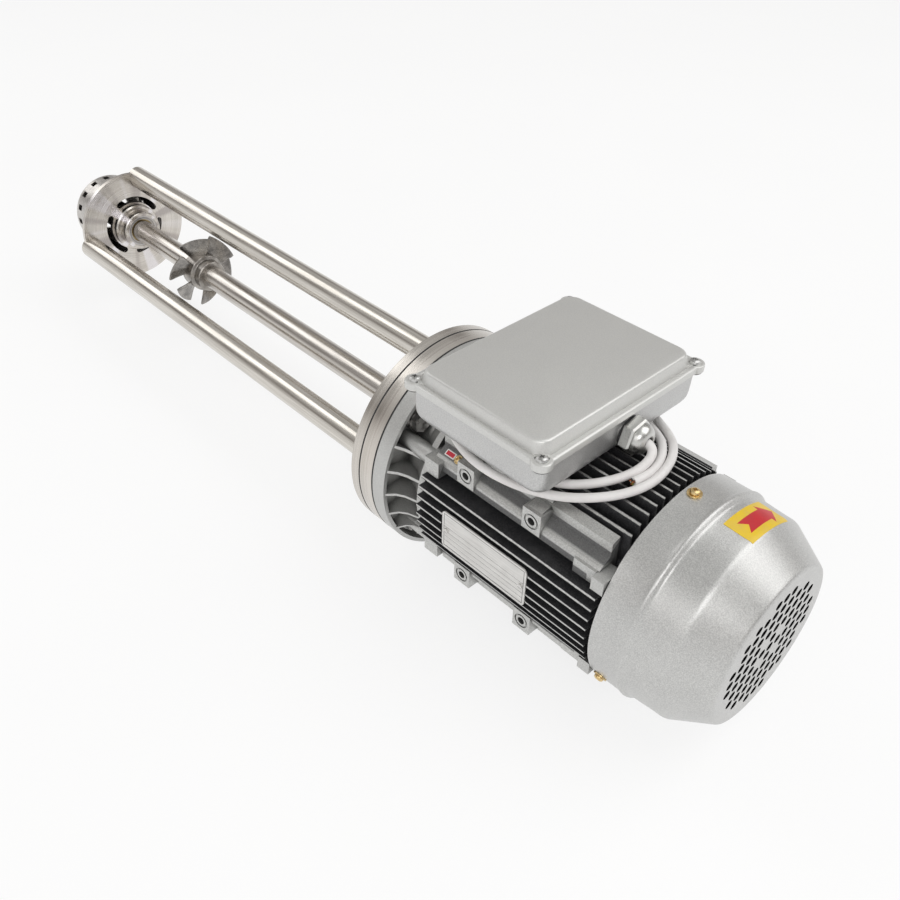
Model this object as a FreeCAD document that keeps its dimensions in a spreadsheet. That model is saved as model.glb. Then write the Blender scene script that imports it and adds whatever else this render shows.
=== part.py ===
import FreeCAD, Part
import math
import os
import re

import Sketcher
from FreeCAD import Placement, Rotation, Vector

# Emulsifying homogenizer: a flange motor that drives a long shaft with a mixing
# impeller and a rotor and stator work head, held on three rods.
# The machine's axis is X, with the work head towards -X and the fan cowl towards +X.
# The terminal box is on top, towards +Z. The origin is on the axis, on the head side
# face of the rod flange. All sizes are in millimetres.

doc = FreeCAD.newDocument("homogenizer")
sheet = doc.addObject("Spreadsheet::Sheet", "Sizes")
size_rows = {}
nodes = []

ALONG_X = Rotation(Vector(0, 1, 0), 90)
ALONG_Y = Rotation(Vector(1, 0, 0), -90)
ALONG_Z = Rotation()


def size(alias, value, meaning):
    """One driving dimension: a row of the sheet with its name, value and meaning."""
    row = len(size_rows) + 1
    size_rows[alias] = row
    sheet.set(f"A{row}", alias)
    sheet.set(f"B{row}", str(value))
    sheet.setAlias(f"B{row}", alias)
    sheet.set(f"C{row}", meaning)


def val(alias):
    """The number in a named cell."""
    return float(sheet.get(alias))


def spell(text):
    """An expression in plain size names, with each name pointed at the sheet."""
    def point(match):
        word = match.group(0)
        return "Sizes." + word if word in size_rows else word
    return re.sub(r"[a-z][a-z_0-9]*", point, text)


def bind(thing, prop, text):
    thing.setExpression(prop, spell(text))


# Flanges and gaskets
size("flange_radius", 100, "outer radius of the two steel flanges and of the motor's flange")
size("rod_flange_thick", 10, "steel flange that carries the rods")
size("mounting_flange_thick", 16.2, "steel flange against the motor")
size("gasket_thick", 0.8, "flat gasket between two flanges")
size("gasket_inset", 1, "how far a gasket stays inside the flange's rim")
size("shaft_passage", 16, "radius of the passage round the shaft in the flanges")
size("spigot_radius", 65, "centring spigot on the motor's flange")
size("spigot_length", 3.5, "length of that spigot")
size("flange_bolt_circle", 82.5, "radius of the flange bolts' circle")
size("flange_bolt_radius", 5, "M10 flange bolt")
size("fit_gap", 0.1, "radial clearance of a seat that doesn't turn")
size("running_gap", 0.05, "radial clearance of a seat that turns")

# Rods and work head
size("head_reach", 561.5, "from the rod flange's outer face to the head plate")
size("rod_radius", 12.7, "support rod")
size("rod_circle", 60, "radius of the circle of the rods' centres")
size("rod_first_angle", 72, "angle of the first rod from +Y towards +Z")
size("rod_seat_depth", 8, "how deep a rod sits in the rod flange")
size("head_plate_radius", 66, "round plate at the work head")
size("head_plate_thick", 5, "its thickness")
size("slot_circle", 33.5, "radius of the middle of the plate's curved slots")
size("slot_width", 7.2, "width of a curved slot")
size("slot_sweep", 86, "angle between the centres of a slot's two ends")
size("hub_radius", 28.5, "wide step of the hub on the head plate")
size("hub_step", 9, "height of that wide step")
size("hub_neck_radius", 23.5, "narrow step of the hub")
size("hub_length", 21, "whole height of the hub")
size("bush_radius", 19, "outside of the plain bush in the hub")
size("bush_recess", 4, "how far the bush lies inside the hub's mouth")
size("stator_radius", 45, "outside of the stator cup")
size("stator_wall", 4, "wall of the stator cup")
size("stator_length", 60.7, "from the head plate to the end of the cup")
size("stator_flange_radius", 54, "flange of the cup against the head plate")
size("stator_flange_thick", 5, "thickness of that flange")
size("stator_inlet", 24, "radius of the round inlet in the cup's end")
size("stator_end_wall", 4, "end wall of the cup")
size("window_count", 16, "square windows round the cup")
size("window_width", 7, "width of a window along the rim")
size("window_height", 8, "length of a window along the axis")
size("window_margin", 6, "from the cup's end to the windows")
size("head_gap", 0.5, "gap between the head rotor and the stator")
size("rotor_hub_radius", 17, "hub of the head rotor")
size("rotor_hub_length", 24, "length of that hub")
size("rotor_recess", 7, "from the vanes' front to the front of the hub, room for the nut")
size("vane_count", 4, "vanes of the head rotor")
size("vane_thick", 6, "thickness of a vane")
size("vane_height", 14, "length of a vane along the axis")
size("vane_end_gap", 1, "from the vanes to the cup's end wall")

# Shaft and impeller
size("shaft_radius", 13, "long shaft")
size("shaft_nose_radius", 9, "turned down end of the shaft inside the work head")
size("shaft_tail", 20, "length of the long shaft behind the rod flange's outer face")
size("joint_radius", 8, "threaded joint between the long shaft and the motor's shaft")
size("joint_length", 24, "length of that threaded joint")
size("impeller_at", 392, "from the rod flange's outer face to the impeller's blades")
size("impeller_hub_radius", 21, "hub of the impeller")
size("impeller_hub_length", 20, "length of the bladed hub")
size("impeller_collar_radius", 17.5, "collar of the impeller")
size("impeller_collar_length", 11, "length of the collar")
size("impeller_radius", 40, "tip of the blades")
size("blade_count", 6, "blades of the impeller")
size("blade_root_chord", 19, "width of a blade at the hub")
size("blade_tip_chord", 27, "width of a blade at its tip")
size("blade_root_thick", 3, "thickness of a blade at the hub")
size("blade_tip_thick", 1.6, "thickness of a blade at its tip")
size("blade_root_pitch", 52, "angle of a blade to the plane of rotation at the hub")
size("blade_tip_pitch", 30, "the same at the tip")

# Motor
size("motor_flange_thick", 14.8, "rim of the motor's flange")
size("flange_web_thick", 8, "web of the motor's flange")
size("shield_length", 45, "from the motor flange's face to the finned frame")
size("shield_mouth_radius", 84, "front end shield where it meets the frame")
size("rib_thick", 2.4, "gusset rib of the front end shield")
size("rib_step", 14, "angle from one gusset rib to the next")
size("frame_length", 181.8, "finned frame")
size("frame_radius", 71, "outside of the frame between the fins")
size("frame_bore", 65.5, "bore of the frame")
size("fin_radius", 90, "circle that the fins' tips touch")
size("fin_thick", 2.2, "thickness of a fin")
size("side_fin_pitch", 9.2, "from one side fin to the next")
size("side_fin_count", 8, "fins on each side")
size("top_fin_pitch", 8.6, "from one upright fin to the next")
size("top_fin_count", 13, "upright fins above, and as many below")
size("lug_face", 77, "distance of the lugs' faces from the axis plane")
size("lug_height", 55, "height of the lugs' holes above and below the axis")
size("lug_width", 18, "length of a lug along the axis")
size("lug_depth", 20, "height of a lug")
size("lug_front", 43, "from the frame's front to the first lugs' holes")
size("lug_spacing", 69, "from the first lugs' holes to the second ones")
size("lug_hole_radius", 3.4, "tapping size of the lugs' M8 holes")
size("lug_hole_depth", 16, "depth of those holes")
size("ear_angle", 32, "angle of the ears above and below the side")
size("ear_circle", 82, "radius of the circle of the end shield bolts")
size("shield_bolt_radius", 3, "M6 end shield bolt")
size("cowl_gap", 4.5, "open gap between the frame and the cowl")
size("cowl_length", 92.5, "fan cowl")
size("cowl_radius", 90.5, "front of the cowl")
size("cowl_sheet", 1.6, "sheet of the cowl")
size("cowl_bead_at", 32.5, "from the cowl's front to its bead")
size("cowl_shoulder_at", 66, "from the cowl's front to the start of its cone")
size("cowl_shoulder_radius", 86, "radius of the cowl there")
size("cowl_end_radius", 68, "radius of the cowl's end plate")
size("cowl_screw_at", 8, "from the cowl's front to its screws")
size("grille_radius", 50, "round field of the grille's holes")
size("grille_hole", 2.7, "radius of a grille hole")
size("grille_pitch", 10, "from one grille hole to the next")
size("grille_blank", 9, "blank centre of the grille")
size("bearing_outer", 26, "outside radius of a 6205 ball bearing")
size("bearing_inner", 12.5, "its bore radius")
size("bearing_race", 17, "outside radius of its inner race")
size("bearing_width", 15, "its width")
size("front_bearing_at", 22.7, "from the motor flange's face to the front bearing")
size("rear_bearing_at", 8, "from the frame's end to the rear bearing")
size("motor_shaft_radius", 12, "motor shaft at its drive end")
size("rotor_core_radius", 35.4, "rotor core")
size("air_gap", 0.6, "gap between rotor and stator cores")
size("core_length", 96, "length of the stator and rotor cores")
size("winding_overhang", 24, "length of a winding's end turns")
size("fan_radius", 76, "cooling fan")
size("fan_seat_radius", 10, "shaft under the fan")
size("fan_blades", 8, "blades of the cooling fan")
size("fan_from_end", 22, "from the fan's hub to the cowl's end plate")

# Terminal box, gland and cable
size("box_x", 134, "middle of the terminal box along the axis")
size("box_half_length", 67.5, "half of the box along the axis, at its rim")
size("box_half_width", 91, "half of the box across, at its rim")
size("box_floor", 90, "height of the box's underside")
size("box_rim", 121, "height of the box's rim")
size("box_draft", 10, "draft of the box's walls in degrees")
size("box_wall", 3.5, "wall of the box")
size("box_round", 12, "rounding of the box's corners")
size("box_gasket", 1, "gasket under the lid")
size("lid_overhang", 2.2, "how far the lid stands past the box")
size("lid_lip", 6.4, "height of the lid's lip")
size("lid_step", 4.5, "height of the lid's first step")
size("lid_top", 4.5, "height of the lid's upper panel above that step")
size("lid_step_inset", 8, "from the lip to the first step")
size("lid_top_inset", 5.5, "from the first step to the upper panel")
size("lid_wall", 3, "wall of the lid")
size("lid_screw_x", 63.8, "lid screws from the box's middle, along the axis")
size("lid_screw_y", 88.2, "lid screws from the box's middle, across")
size("lid_ear", 8, "radius of the ears round the lid's screws")
size("neck_half_length", 44, "half of the cast neck under the box, along the axis")
size("neck_half_width", 38, "half of that neck across")
size("gland_y", 5, "cable gland's axis, across")
size("gland_z", 106, "height of the cable gland's axis")
size("gland_hex_radius", 15.5, "corner radius of the gland's dome nut")
size("gland_hex_length", 9.5, "length of its hexagon")
size("gland_dome_length", 8, "length of its dome")
size("gland_seat", 3.5, "how far its flat seat lies inside the box's rim")
size("gland_thread", 8, "radius of the gland's thread")
size("gland_face", 3.5, "thickness of the gland's outer collar")
size("cable_radius", 3.5, "power cable")

# Nameplate
size("plate_length", 92, "nameplate along the axis")
size("plate_height", 39, "its height")
size("plate_thick", 1, "its thickness")
size("plate_x", 149.8, "its middle along the axis")
size("plate_y", 88.5, "its back from the axis plane")

doc.recompute()

# Stations along the axis, from the sizes above
X_MOUNT = "(rod_flange_thick + gasket_thick)"
X_MOUNT_END = f"({X_MOUNT} + mounting_flange_thick)"
X_MOTOR = f"({X_MOUNT_END} + gasket_thick)"
X_RIM_END = f"({X_MOTOR} + motor_flange_thick)"
X_WEB_END = f"({X_MOTOR} + flange_web_thick)"
X_FRAME = f"({X_MOTOR} + shield_length)"
X_FRAME_END = f"({X_FRAME} + frame_length)"
X_COWL = f"({X_FRAME_END} + cowl_gap)"
X_COWL_END = f"({X_COWL} + cowl_length)"
X_FRONT_BEARING = f"({X_MOTOR} + front_bearing_at)"
X_REAR_BEARING = f"({X_FRAME_END} + rear_bearing_at)"
X_HEAD = "(0 - head_reach)"
X_HEAD_BACK = "(0 - head_reach - head_plate_thick)"
X_STATOR_END = f"({X_HEAD_BACK} - stator_length)"
X_VANES = f"({X_STATOR_END} + stator_end_wall + vane_end_gap)"
X_CORE = f"({X_FRAME} + (frame_length - core_length) / 2)"
X_CORE_END = f"({X_CORE} + core_length)"
X_FAN = f"({X_COWL_END} - fan_from_end)"
X_BOX_REAR = "(box_x + box_half_length)"
X_GLAND = f"({X_BOX_REAR} - gland_seat)"
LID_Z = "(box_rim + box_gasket)"


def keep(thing, label):
    """Marks an object as a sub-part that is written under its own label."""
    thing.Label = label
    nodes.append(thing)
    return thing


def place(thing, x="0", y="0", z="0", turn=ALONG_Z):
    thing.Placement = Placement(Vector(), turn)
    bind(thing, "Placement.Base.x", x)
    bind(thing, "Placement.Base.y", y)
    bind(thing, "Placement.Base.z", z)


def cylinder(name, radius, length, x="0", y="0", z="0", turn=ALONG_X):
    solid = doc.addObject("Part::Cylinder", name)
    bind(solid, "Radius", radius)
    bind(solid, "Height", length)
    place(solid, x, y, z, turn)
    return solid


def prism(name, corner_radius, length, x="0", y="0", z="0", turn=ALONG_X):
    """A hexagonal bar."""
    solid = doc.addObject("Part::Prism", name)
    solid.Polygon = 6
    bind(solid, "Circumradius", corner_radius)
    bind(solid, "Height", length)
    place(solid, x, y, z, turn)
    return solid


def block(name, length, width, height, x, y, z):
    """A box from x on, with its middle at y and z."""
    solid = doc.addObject("Part::Box", name)
    bind(solid, "Length", length)
    bind(solid, "Width", width)
    bind(solid, "Height", height)
    place(solid, x, f"({y}) - ({width}) / 2", f"({z}) - ({height}) / 2")
    return solid


def fuse(name, pieces):
    joined = doc.addObject("Part::MultiFuse", name)
    joined.Shapes = pieces
    return joined


def cut(name, base, tool):
    left = doc.addObject("Part::Cut", name)
    left.Base = base
    left.Tool = tool
    return left


def common(name, first, second):
    shared = doc.addObject("Part::Common", name)
    shared.Base = first
    shared.Tool = second
    return shared


def group(name, pieces):
    """Equal loose pieces that share one node."""
    together = doc.addObject("Part::Compound", name)
    together.Links = pieces
    return together


def ring(name, outer, inner, length, x, y="0", z="0", turn=ALONG_X):
    return cut(name, cylinder(name + "_outside", outer, length, x, y, z, turn),
               cylinder(name + "_bore", inner, length, x, y, z, turn))


def new_body(name):
    return doc.addObject("PartDesign::Body", name)


def origin_part(body, role):
    return [part for part in body.Origin.OriginFeatures if part.Role == role][0]


def new_sketch(body, name, plane, offset="0", turn=ALONG_Z):
    sketch = body.newObject("Sketcher::SketchObject", name)
    sketch.AttachmentSupport = (origin_part(body, plane), [""])
    sketch.MapMode = "FlatFace"
    sketch.AttachmentOffset = Placement(Vector(), turn)
    bind(sketch, "AttachmentOffset.Base.z", offset)
    return sketch


def pin_point(sketch, piece, end, across, up):
    """Fixes one point of a sketch by two bound distances from its origin."""
    now = sketch.getPoint(piece, end)
    for kind, value, text in (("DistanceX", now.x, across), ("DistanceY", now.y, up)):
        index = sketch.addConstraint(Sketcher.Constraint(kind, -1, 1, piece, end, value))
        bind(sketch, f"Constraints[{index}]", text)


def outline(body, name, plane, points, offset="0", turn=ALONG_Z):
    """A closed sketch of straight lines through bound points."""
    sketch = new_sketch(body, name, plane, offset, turn)
    count = len(points)
    start = [Vector(50 * math.cos(2 * math.pi * k / count), 50 * math.sin(2 * math.pi * k / count), 0)
             for k in range(count)]
    for k in range(count):
        sketch.addGeometry(Part.LineSegment(start[k], start[(k + 1) % count]), False)
    for k in range(count):
        sketch.addConstraint(Sketcher.Constraint("Coincident", k, 2, (k + 1) % count, 1))
    for k, (across, up) in enumerate(points):
        pin_point(sketch, k, 1, across, up)
    return sketch


def rectangle(body, name, plane, half_across, half_up, middle=("0", "0"), offset="0", turn=ALONG_Z):
    across, up = middle
    corners = [(f"({across}) {a} ({half_across})", f"({up}) {b} ({half_up})")
               for a, b in (("-", "-"), ("+", "-"), ("+", "+"), ("-", "+"))]
    return outline(body, name, plane, corners, offset, turn)


def rounded(body, name, half_x, half_y, radius, middle, offset):
    """A horizontal sketch of a rectangle with round corners."""
    sketch = new_sketch(body, name, "XY_Plane", offset)
    x, y = middle
    signs = ((1, -1), (1, 1), (-1, 1), (-1, -1))
    for k, (a, b) in enumerate(signs):
        turn = Rotation(Vector(0, 0, 1), 90 * k)
        sketch.addGeometry(Part.LineSegment(turn.multVec(Vector(-20, -30, 0)),
                                            turn.multVec(Vector(20, -30, 0))), False)
        corner = Part.Circle(turn.multVec(Vector(20, -20, 0)), Vector(0, 0, 1), 10)
        sketch.addGeometry(Part.ArcOfCircle(corner, math.pi / 2 * (k - 1), math.pi / 2 * k), False)
    for k, (a, b) in enumerate(signs):
        line = 2 * k
        sketch.addConstraint(Sketcher.Constraint("Coincident", line, 2, line + 1, 1))
        sketch.addConstraint(Sketcher.Constraint("Coincident", line + 1, 2, (line + 2) % 8, 1))
        centre = (f"({x}) + ({a}) * ({half_x} - {radius})", f"({y}) + ({b}) * ({half_y} - {radius})")
        pin_point(sketch, line + 1, 3, *centre)
        now = sketch.getPoint(line, 2)
        kind, value, text = (("DistanceX", now.x, centre[0]) if k % 2 == 0
                             else ("DistanceY", now.y, centre[1]))
        index = sketch.addConstraint(Sketcher.Constraint(kind, -1, 1, line, 2, value))
        bind(sketch, f"Constraints[{index}]", text)
        c, d = signs[k - 1]
        start = ((f"({x}) + ({c}) * ({half_x} - {radius})", f"({y}) + ({b}) * ({half_y})")
                 if k % 2 == 0 else
                 (f"({x}) + ({a}) * ({half_x})", f"({y}) + ({d}) * ({half_y} - {radius})"))
        pin_point(sketch, line, 1, *start)
    return sketch


def circles(body, name, plane, places, radius, offset="0"):
    """A sketch of equal circles at bound places."""
    sketch = new_sketch(body, name, plane, offset)
    for k, (across, up) in enumerate(places):
        sketch.addGeometry(Part.Circle(Vector(10 * k, 5, 0), Vector(0, 0, 1), 2), False)
        pin_point(sketch, k, 3, across, up)
        index = sketch.addConstraint(Sketcher.Constraint("Radius", k, 2.0))
        bind(sketch, f"Constraints[{index}]", radius)
    return sketch


def pad(body, name, sketch, length, midplane=False, draft=None, back=False):
    feature = body.newObject("PartDesign::Pad", name)
    feature.Profile = sketch
    bind(feature, "Length", length)
    feature.Midplane = midplane
    feature.Reversed = back
    if draft:
        bind(feature, "TaperAngle", draft)
    body.Tip = feature
    return feature


def pocket(body, name, sketch, length, back=False, draft=None, midplane=False):
    feature = body.newObject("PartDesign::Pocket", name)
    feature.Profile = sketch
    bind(feature, "Length", length)
    feature.Reversed = back
    feature.Midplane = midplane
    if draft:
        bind(feature, "TaperAngle", draft)
    body.Tip = feature
    return feature


def around_x(body, name, features, count, angle="360"):
    """A polar pattern of features about the machine's axis."""
    pattern = body.newObject("PartDesign::PolarPattern", name)
    pattern.Originals = features
    pattern.Axis = (origin_part(body, "X_Axis"), [""])
    bind(pattern, "Angle", angle)
    bind(pattern, "Occurrences", count)
    body.Tip = pattern
    return pattern


def turned(name, points):
    """A body turned about the machine's axis from a closed outline of (x, radius)."""
    body = new_body(name)
    sketch = outline(body, name + "_outline", "XZ_Plane", points)
    feature = body.newObject("PartDesign::Revolution", name + "_turned")
    feature.Profile = sketch
    feature.ReferenceAxis = (sketch, ["H_Axis"])
    feature.Angle = 360
    body.Tip = feature
    return body


def round_edges(body, name, radius, wanted):
    """A fillet on those edges of the body's last feature that the test picks."""
    doc.recompute()
    base = body.Tip
    names = [f"Edge{k + 1}" for k, edge in enumerate(base.Shape.Edges) if wanted(edge)]
    feature = body.newObject("PartDesign::Fillet", name)
    feature.Base = (base, names)
    bind(feature, "Radius", radius)
    body.Tip = feature
    return feature


def on_circle(radius, angle):
    """The bound y and z of a point on a circle about the machine's axis."""
    return f"({radius}) * cos({angle})", f"({radius}) * sin({angle})"


def flange_stack():
    """The two steel flanges, their gaskets, the shaft seal and the flange bolts."""
    rod_flange = turned("rod_flange_disc", [
        ("0", "shaft_passage"), ("0", "flange_radius"),
        ("rod_flange_thick", "flange_radius"), ("rod_flange_thick", "shaft_passage")])
    seats = circles(rod_flange, "rod_seats", "YZ_Plane",
                    [on_circle("rod_circle", f"rod_first_angle + {120 * k}") for k in range(3)],
                    "rod_radius + fit_gap")
    pocket(rod_flange, "rod_seat_pockets", seats, "rod_seat_depth", back=True)
    bolt_places = [on_circle("flange_bolt_circle", f"{45 + 90 * k}") for k in range(4)]
    holes = circles(rod_flange, "rod_flange_holes", "YZ_Plane", bolt_places,
                    "flange_bolt_radius + fit_gap")
    pocket(rod_flange, "rod_flange_drilled", holes, "rod_flange_thick", back=True)
    keep(rod_flange, "rod_flange")

    mounting = turned("mounting_flange_disc", [
        (X_MOUNT, "shaft_passage"), (X_MOUNT, "flange_radius"),
        (X_MOUNT_END, "flange_radius"), (X_MOUNT_END, "spigot_radius + fit_gap"),
        (f"{X_MOUNT_END} - spigot_length", "spigot_radius + fit_gap"),
        (f"{X_MOUNT_END} - spigot_length", "shaft_passage + 8"),
        (f"{X_MOUNT_END} - spigot_length - 8", "shaft_passage + 8"),
        (f"{X_MOUNT_END} - spigot_length - 8", "shaft_passage")])
    holes = circles(mounting, "mounting_flange_holes", "YZ_Plane", bolt_places,
                    "flange_bolt_radius + fit_gap", offset=X_MOUNT)
    pocket(mounting, "mounting_flange_drilled", holes, "mounting_flange_thick", back=True)
    keep(mounting, "mounting_flange")

    for name, x in (("rod_flange_gasket", "rod_flange_thick"), ("motor_flange_gasket", X_MOUNT_END)):
        gasket = turned(name + "_disc", [
            (x, "spigot_radius + 4"), (x, "flange_radius - gasket_inset"),
            (f"{x} + gasket_thick", "flange_radius - gasket_inset"),
            (f"{x} + gasket_thick", "spigot_radius + 4")])
        holes = circles(gasket, name + "_holes", "YZ_Plane", bolt_places,
                        "flange_bolt_radius + fit_gap", offset=x)
        pocket(gasket, name + "_punched", holes, "gasket_thick", back=True)
        keep(gasket, name)

    seal_at = f"{X_MOUNT_END} - spigot_length - 8"
    keep(turned("seal_turned", [
        (seal_at, "shaft_radius + running_gap"), (seal_at, "shaft_passage + 8 - fit_gap"),
        (f"{seal_at} + 7.5", "shaft_passage + 8 - fit_gap"),
        (f"{seal_at} + 7.5", "shaft_passage + 5"), (f"{seal_at} + 3", "shaft_passage + 5"),
        (f"{seal_at} + 3", "shaft_radius + 2"), (f"{seal_at} + 6", "shaft_radius + running_gap")]),
        "shaft_seal")

    bolts = []
    washers = []
    bolt_back = f"{X_WEB_END} + 4.6"
    for k, (y, z) in enumerate(bolt_places):
        shank = cylinder(f"flange_bolt_shank_{k}", "flange_bolt_radius",
                         f"{bolt_back} - 1", "1", y, z)
        head = prism(f"flange_bolt_head_{k}", "flange_bolt_radius * 1.85",
                     "flange_bolt_radius * 1.3", bolt_back, y, z)
        bolts.append(fuse(f"flange_bolt_{k}", [shank, head]))
        flat = ring(f"flange_flat_washer_{k}", "flange_bolt_radius * 2", "flange_bolt_radius + fit_gap",
                    "2", X_WEB_END, y, z)
        spring = ring(f"flange_spring_washer_{k}", "flange_bolt_radius * 1.75",
                      "flange_bolt_radius + fit_gap", "2.6", f"{X_WEB_END} + 2", y, z)
        washers.extend([flat, spring])
    keep(group("flange_bolt_set", bolts), "flange_bolts")
    keep(group("flange_washer_set", washers), "flange_washers")


def rods():
    """Three rods from the rod flange to notches in the rim of the head plate."""
    for k in range(3):
        y, z = on_circle("rod_circle", f"rod_first_angle + {120 * k}")
        rod = cylinder(f"rod_{k + 1}", "rod_radius", "head_reach + head_plate_thick + rod_seat_depth",
                       X_HEAD_BACK, y, z)
        keep(rod, f"support_rod_{k + 1}")


def head_plate():
    """The round plate with its stepped hub, three curved slots and three rod notches."""
    back = X_HEAD_BACK
    body = turned("head_plate_turned", [
        (back, "bush_radius"), (back, "head_plate_radius"), (X_HEAD, "head_plate_radius"),
        (X_HEAD, "hub_radius"), (f"{X_HEAD} + hub_step - 1.5", "hub_radius"),
        (f"{X_HEAD} + hub_step", "hub_radius - 1.5"),
        (f"{X_HEAD} + hub_step", "hub_neck_radius + 0.5"),
        (f"{X_HEAD} + hub_step + 2", "hub_neck_radius"),
        (f"{X_HEAD} + hub_length - 1", "hub_neck_radius"),
        (f"{X_HEAD} + hub_length", "hub_neck_radius - 1"),
        (f"{X_HEAD} + hub_length", "bush_radius")])
    notch = circles(body, "rod_notch", "YZ_Plane", [on_circle("rod_circle", "rod_first_angle")],
                    "rod_radius + fit_gap", offset=back)
    notch_cut = pocket(body, "rod_notch_cut", notch, "head_plate_thick", back=True)
    around_x(body, "rod_notches", [notch_cut], "3")

    slot = new_sketch(body, "slot", "YZ_Plane", back)
    middle = math.radians(val("rod_first_angle"))
    half = math.radians(val("slot_sweep") / 2)
    circle_radius = val("slot_circle")
    half_width = val("slot_width") / 2
    ends = [middle - half, middle + half]
    tips = [Vector(circle_radius * math.cos(a), circle_radius * math.sin(a), 0) for a in ends]
    outer = Part.Circle(Vector(), Vector(0, 0, 1), circle_radius + half_width)
    inner = Part.Circle(Vector(), Vector(0, 0, 1), circle_radius - half_width)
    slot.addGeometry(Part.ArcOfCircle(outer, ends[0], ends[1]), False)
    slot.addGeometry(Part.ArcOfCircle(inner, ends[0], ends[1]), False)
    cap = Part.Circle(tips[1], Vector(0, 0, 1), half_width)
    slot.addGeometry(Part.ArcOfCircle(cap, ends[1], ends[1] + math.pi), False)
    cap = Part.Circle(tips[0], Vector(0, 0, 1), half_width)
    slot.addGeometry(Part.ArcOfCircle(cap, ends[0] - math.pi, ends[0]), False)
    slot_cut = pocket(body, "slot_cut", slot, "head_plate_thick", back=True)
    around_x(body, "slots", [slot_cut], "3")
    screw_holes = circles(body, "stator_screw_holes", "YZ_Plane",
                          [on_circle("stator_flange_radius - 4.3", f"rod_first_angle + {60 + 120 * k}")
                           for k in range(3)], "2 + fit_gap", offset=back)
    pocket(body, "stator_screw_holes_cut", screw_holes, "3.5", back=True)
    keep(body, "head_plate")


def hub_bush():
    """The plain bush that guides the shaft in the hub, and the ring that holds it."""
    mouth = f"({X_HEAD} + hub_length)"
    keep(turned("bush_turned", [
        (X_HEAD_BACK, "shaft_radius + running_gap"), (X_HEAD_BACK, "bush_radius - fit_gap"),
        (f"{mouth} - bush_recess", "bush_radius - fit_gap"),
        (f"{mouth} - bush_recess", "shaft_radius + running_gap")]), "hub_bush")
    keep(turned("bush_ring_turned", [
        (f"{mouth} - bush_recess", "shaft_radius + 1.6"), (f"{mouth} - bush_recess", "bush_radius - fit_gap"),
        (f"{mouth} - 0.6", "bush_radius - fit_gap"), (f"{mouth} - 0.6", "bush_radius - 2"),
        (f"{mouth} - 1.6", "shaft_radius + 2.6"), (f"{mouth} - 1.6", "shaft_radius + 1.6")]),
        "bush_retaining_ring")


def stator():
    """The stator cup with one row of windows, and the end ring with the round inlet."""
    end = X_STATOR_END
    inside = "(stator_radius - stator_wall)"
    body = turned("stator_turned", [
        (X_HEAD_BACK, inside), (X_HEAD_BACK, "stator_flange_radius"),
        (f"{X_HEAD_BACK} - stator_flange_thick", "stator_flange_radius"),
        (f"{X_HEAD_BACK} - stator_flange_thick", "stator_radius"),
        (f"{end} + 2.2", "stator_radius"), (f"{end} + 0.6", "stator_radius - 0.6"),
        (end, "stator_radius - 2.2"), (end, inside)])
    window = rectangle(body, "window", "XY_Plane", "window_height / 2", "window_width / 2",
                       (f"{end} + window_margin + window_height / 2", "0"),
                       offset="stator_radius - stator_wall - 2")
    window_cut = pocket(body, "window_cut", window, "stator_wall + 4", back=True)
    around_x(body, "windows", [window_cut], "window_count")
    places = [on_circle("stator_flange_radius - 4.3", f"rod_first_angle + {60 + 120 * k}")
              for k in range(3)]
    holes = circles(body, "stator_flange_holes", "YZ_Plane", places, "2 + fit_gap",
                    offset=f"{X_HEAD_BACK} - stator_flange_thick")
    pocket(body, "stator_flange_drilled", holes, "stator_flange_thick", back=True)
    keep(body, "stator_cup")
    keep(ring("end_ring", f"{inside} - fit_gap", "stator_inlet", "stator_end_wall", end),
         "stator_end_ring")
    screws = []
    for k, (y, z) in enumerate(places):
        shank = cylinder(f"stator_screw_shank_{k}", "2", "stator_flange_thick + 3.2",
                         f"{X_HEAD_BACK} - stator_flange_thick", y, z)
        head = cylinder(f"stator_screw_head_{k}", "3.5", "3.2",
                        f"{X_HEAD_BACK} - stator_flange_thick - 3.2", y, z)
        screws.append(fuse(f"stator_screw_{k}", [shank, head]))
    keep(group("stator_screw_set", screws), "stator_screws")


def head_rotor():
    """The rotor in the work head: a hub with swept vanes that nearly touch the cup."""
    hub_start = f"({X_VANES} + rotor_recess)"
    hub_end = f"({X_VANES} + rotor_hub_length)"
    body = turned("head_rotor_hub", [
        (hub_start, "shaft_nose_radius"), (hub_start, "rotor_hub_radius - 1"),
        (f"{hub_start} + 1", "rotor_hub_radius"), (f"{hub_end} - 4", "rotor_hub_radius"),
        (hub_end, "shaft_radius + 1"), (hub_end, "shaft_nose_radius")])
    tip = "(stator_radius - stator_wall - head_gap)"
    vane = outline(body, "vane", "YZ_Plane", [
        ("0 - vane_thick / 2", "rotor_hub_radius - 4"), ("vane_thick / 2", "rotor_hub_radius - 4"),
        ("vane_thick / 2 + 6", f"{tip} - 2"), ("6 - vane_thick / 2", f"{tip} - 1")],
        offset=f"{X_VANES}")
    vane_pad = pad(body, "vane_pad", vane, "vane_height")
    around_x(body, "vanes", [vane_pad], "vane_count")
    keep(body, "head_rotor")


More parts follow.
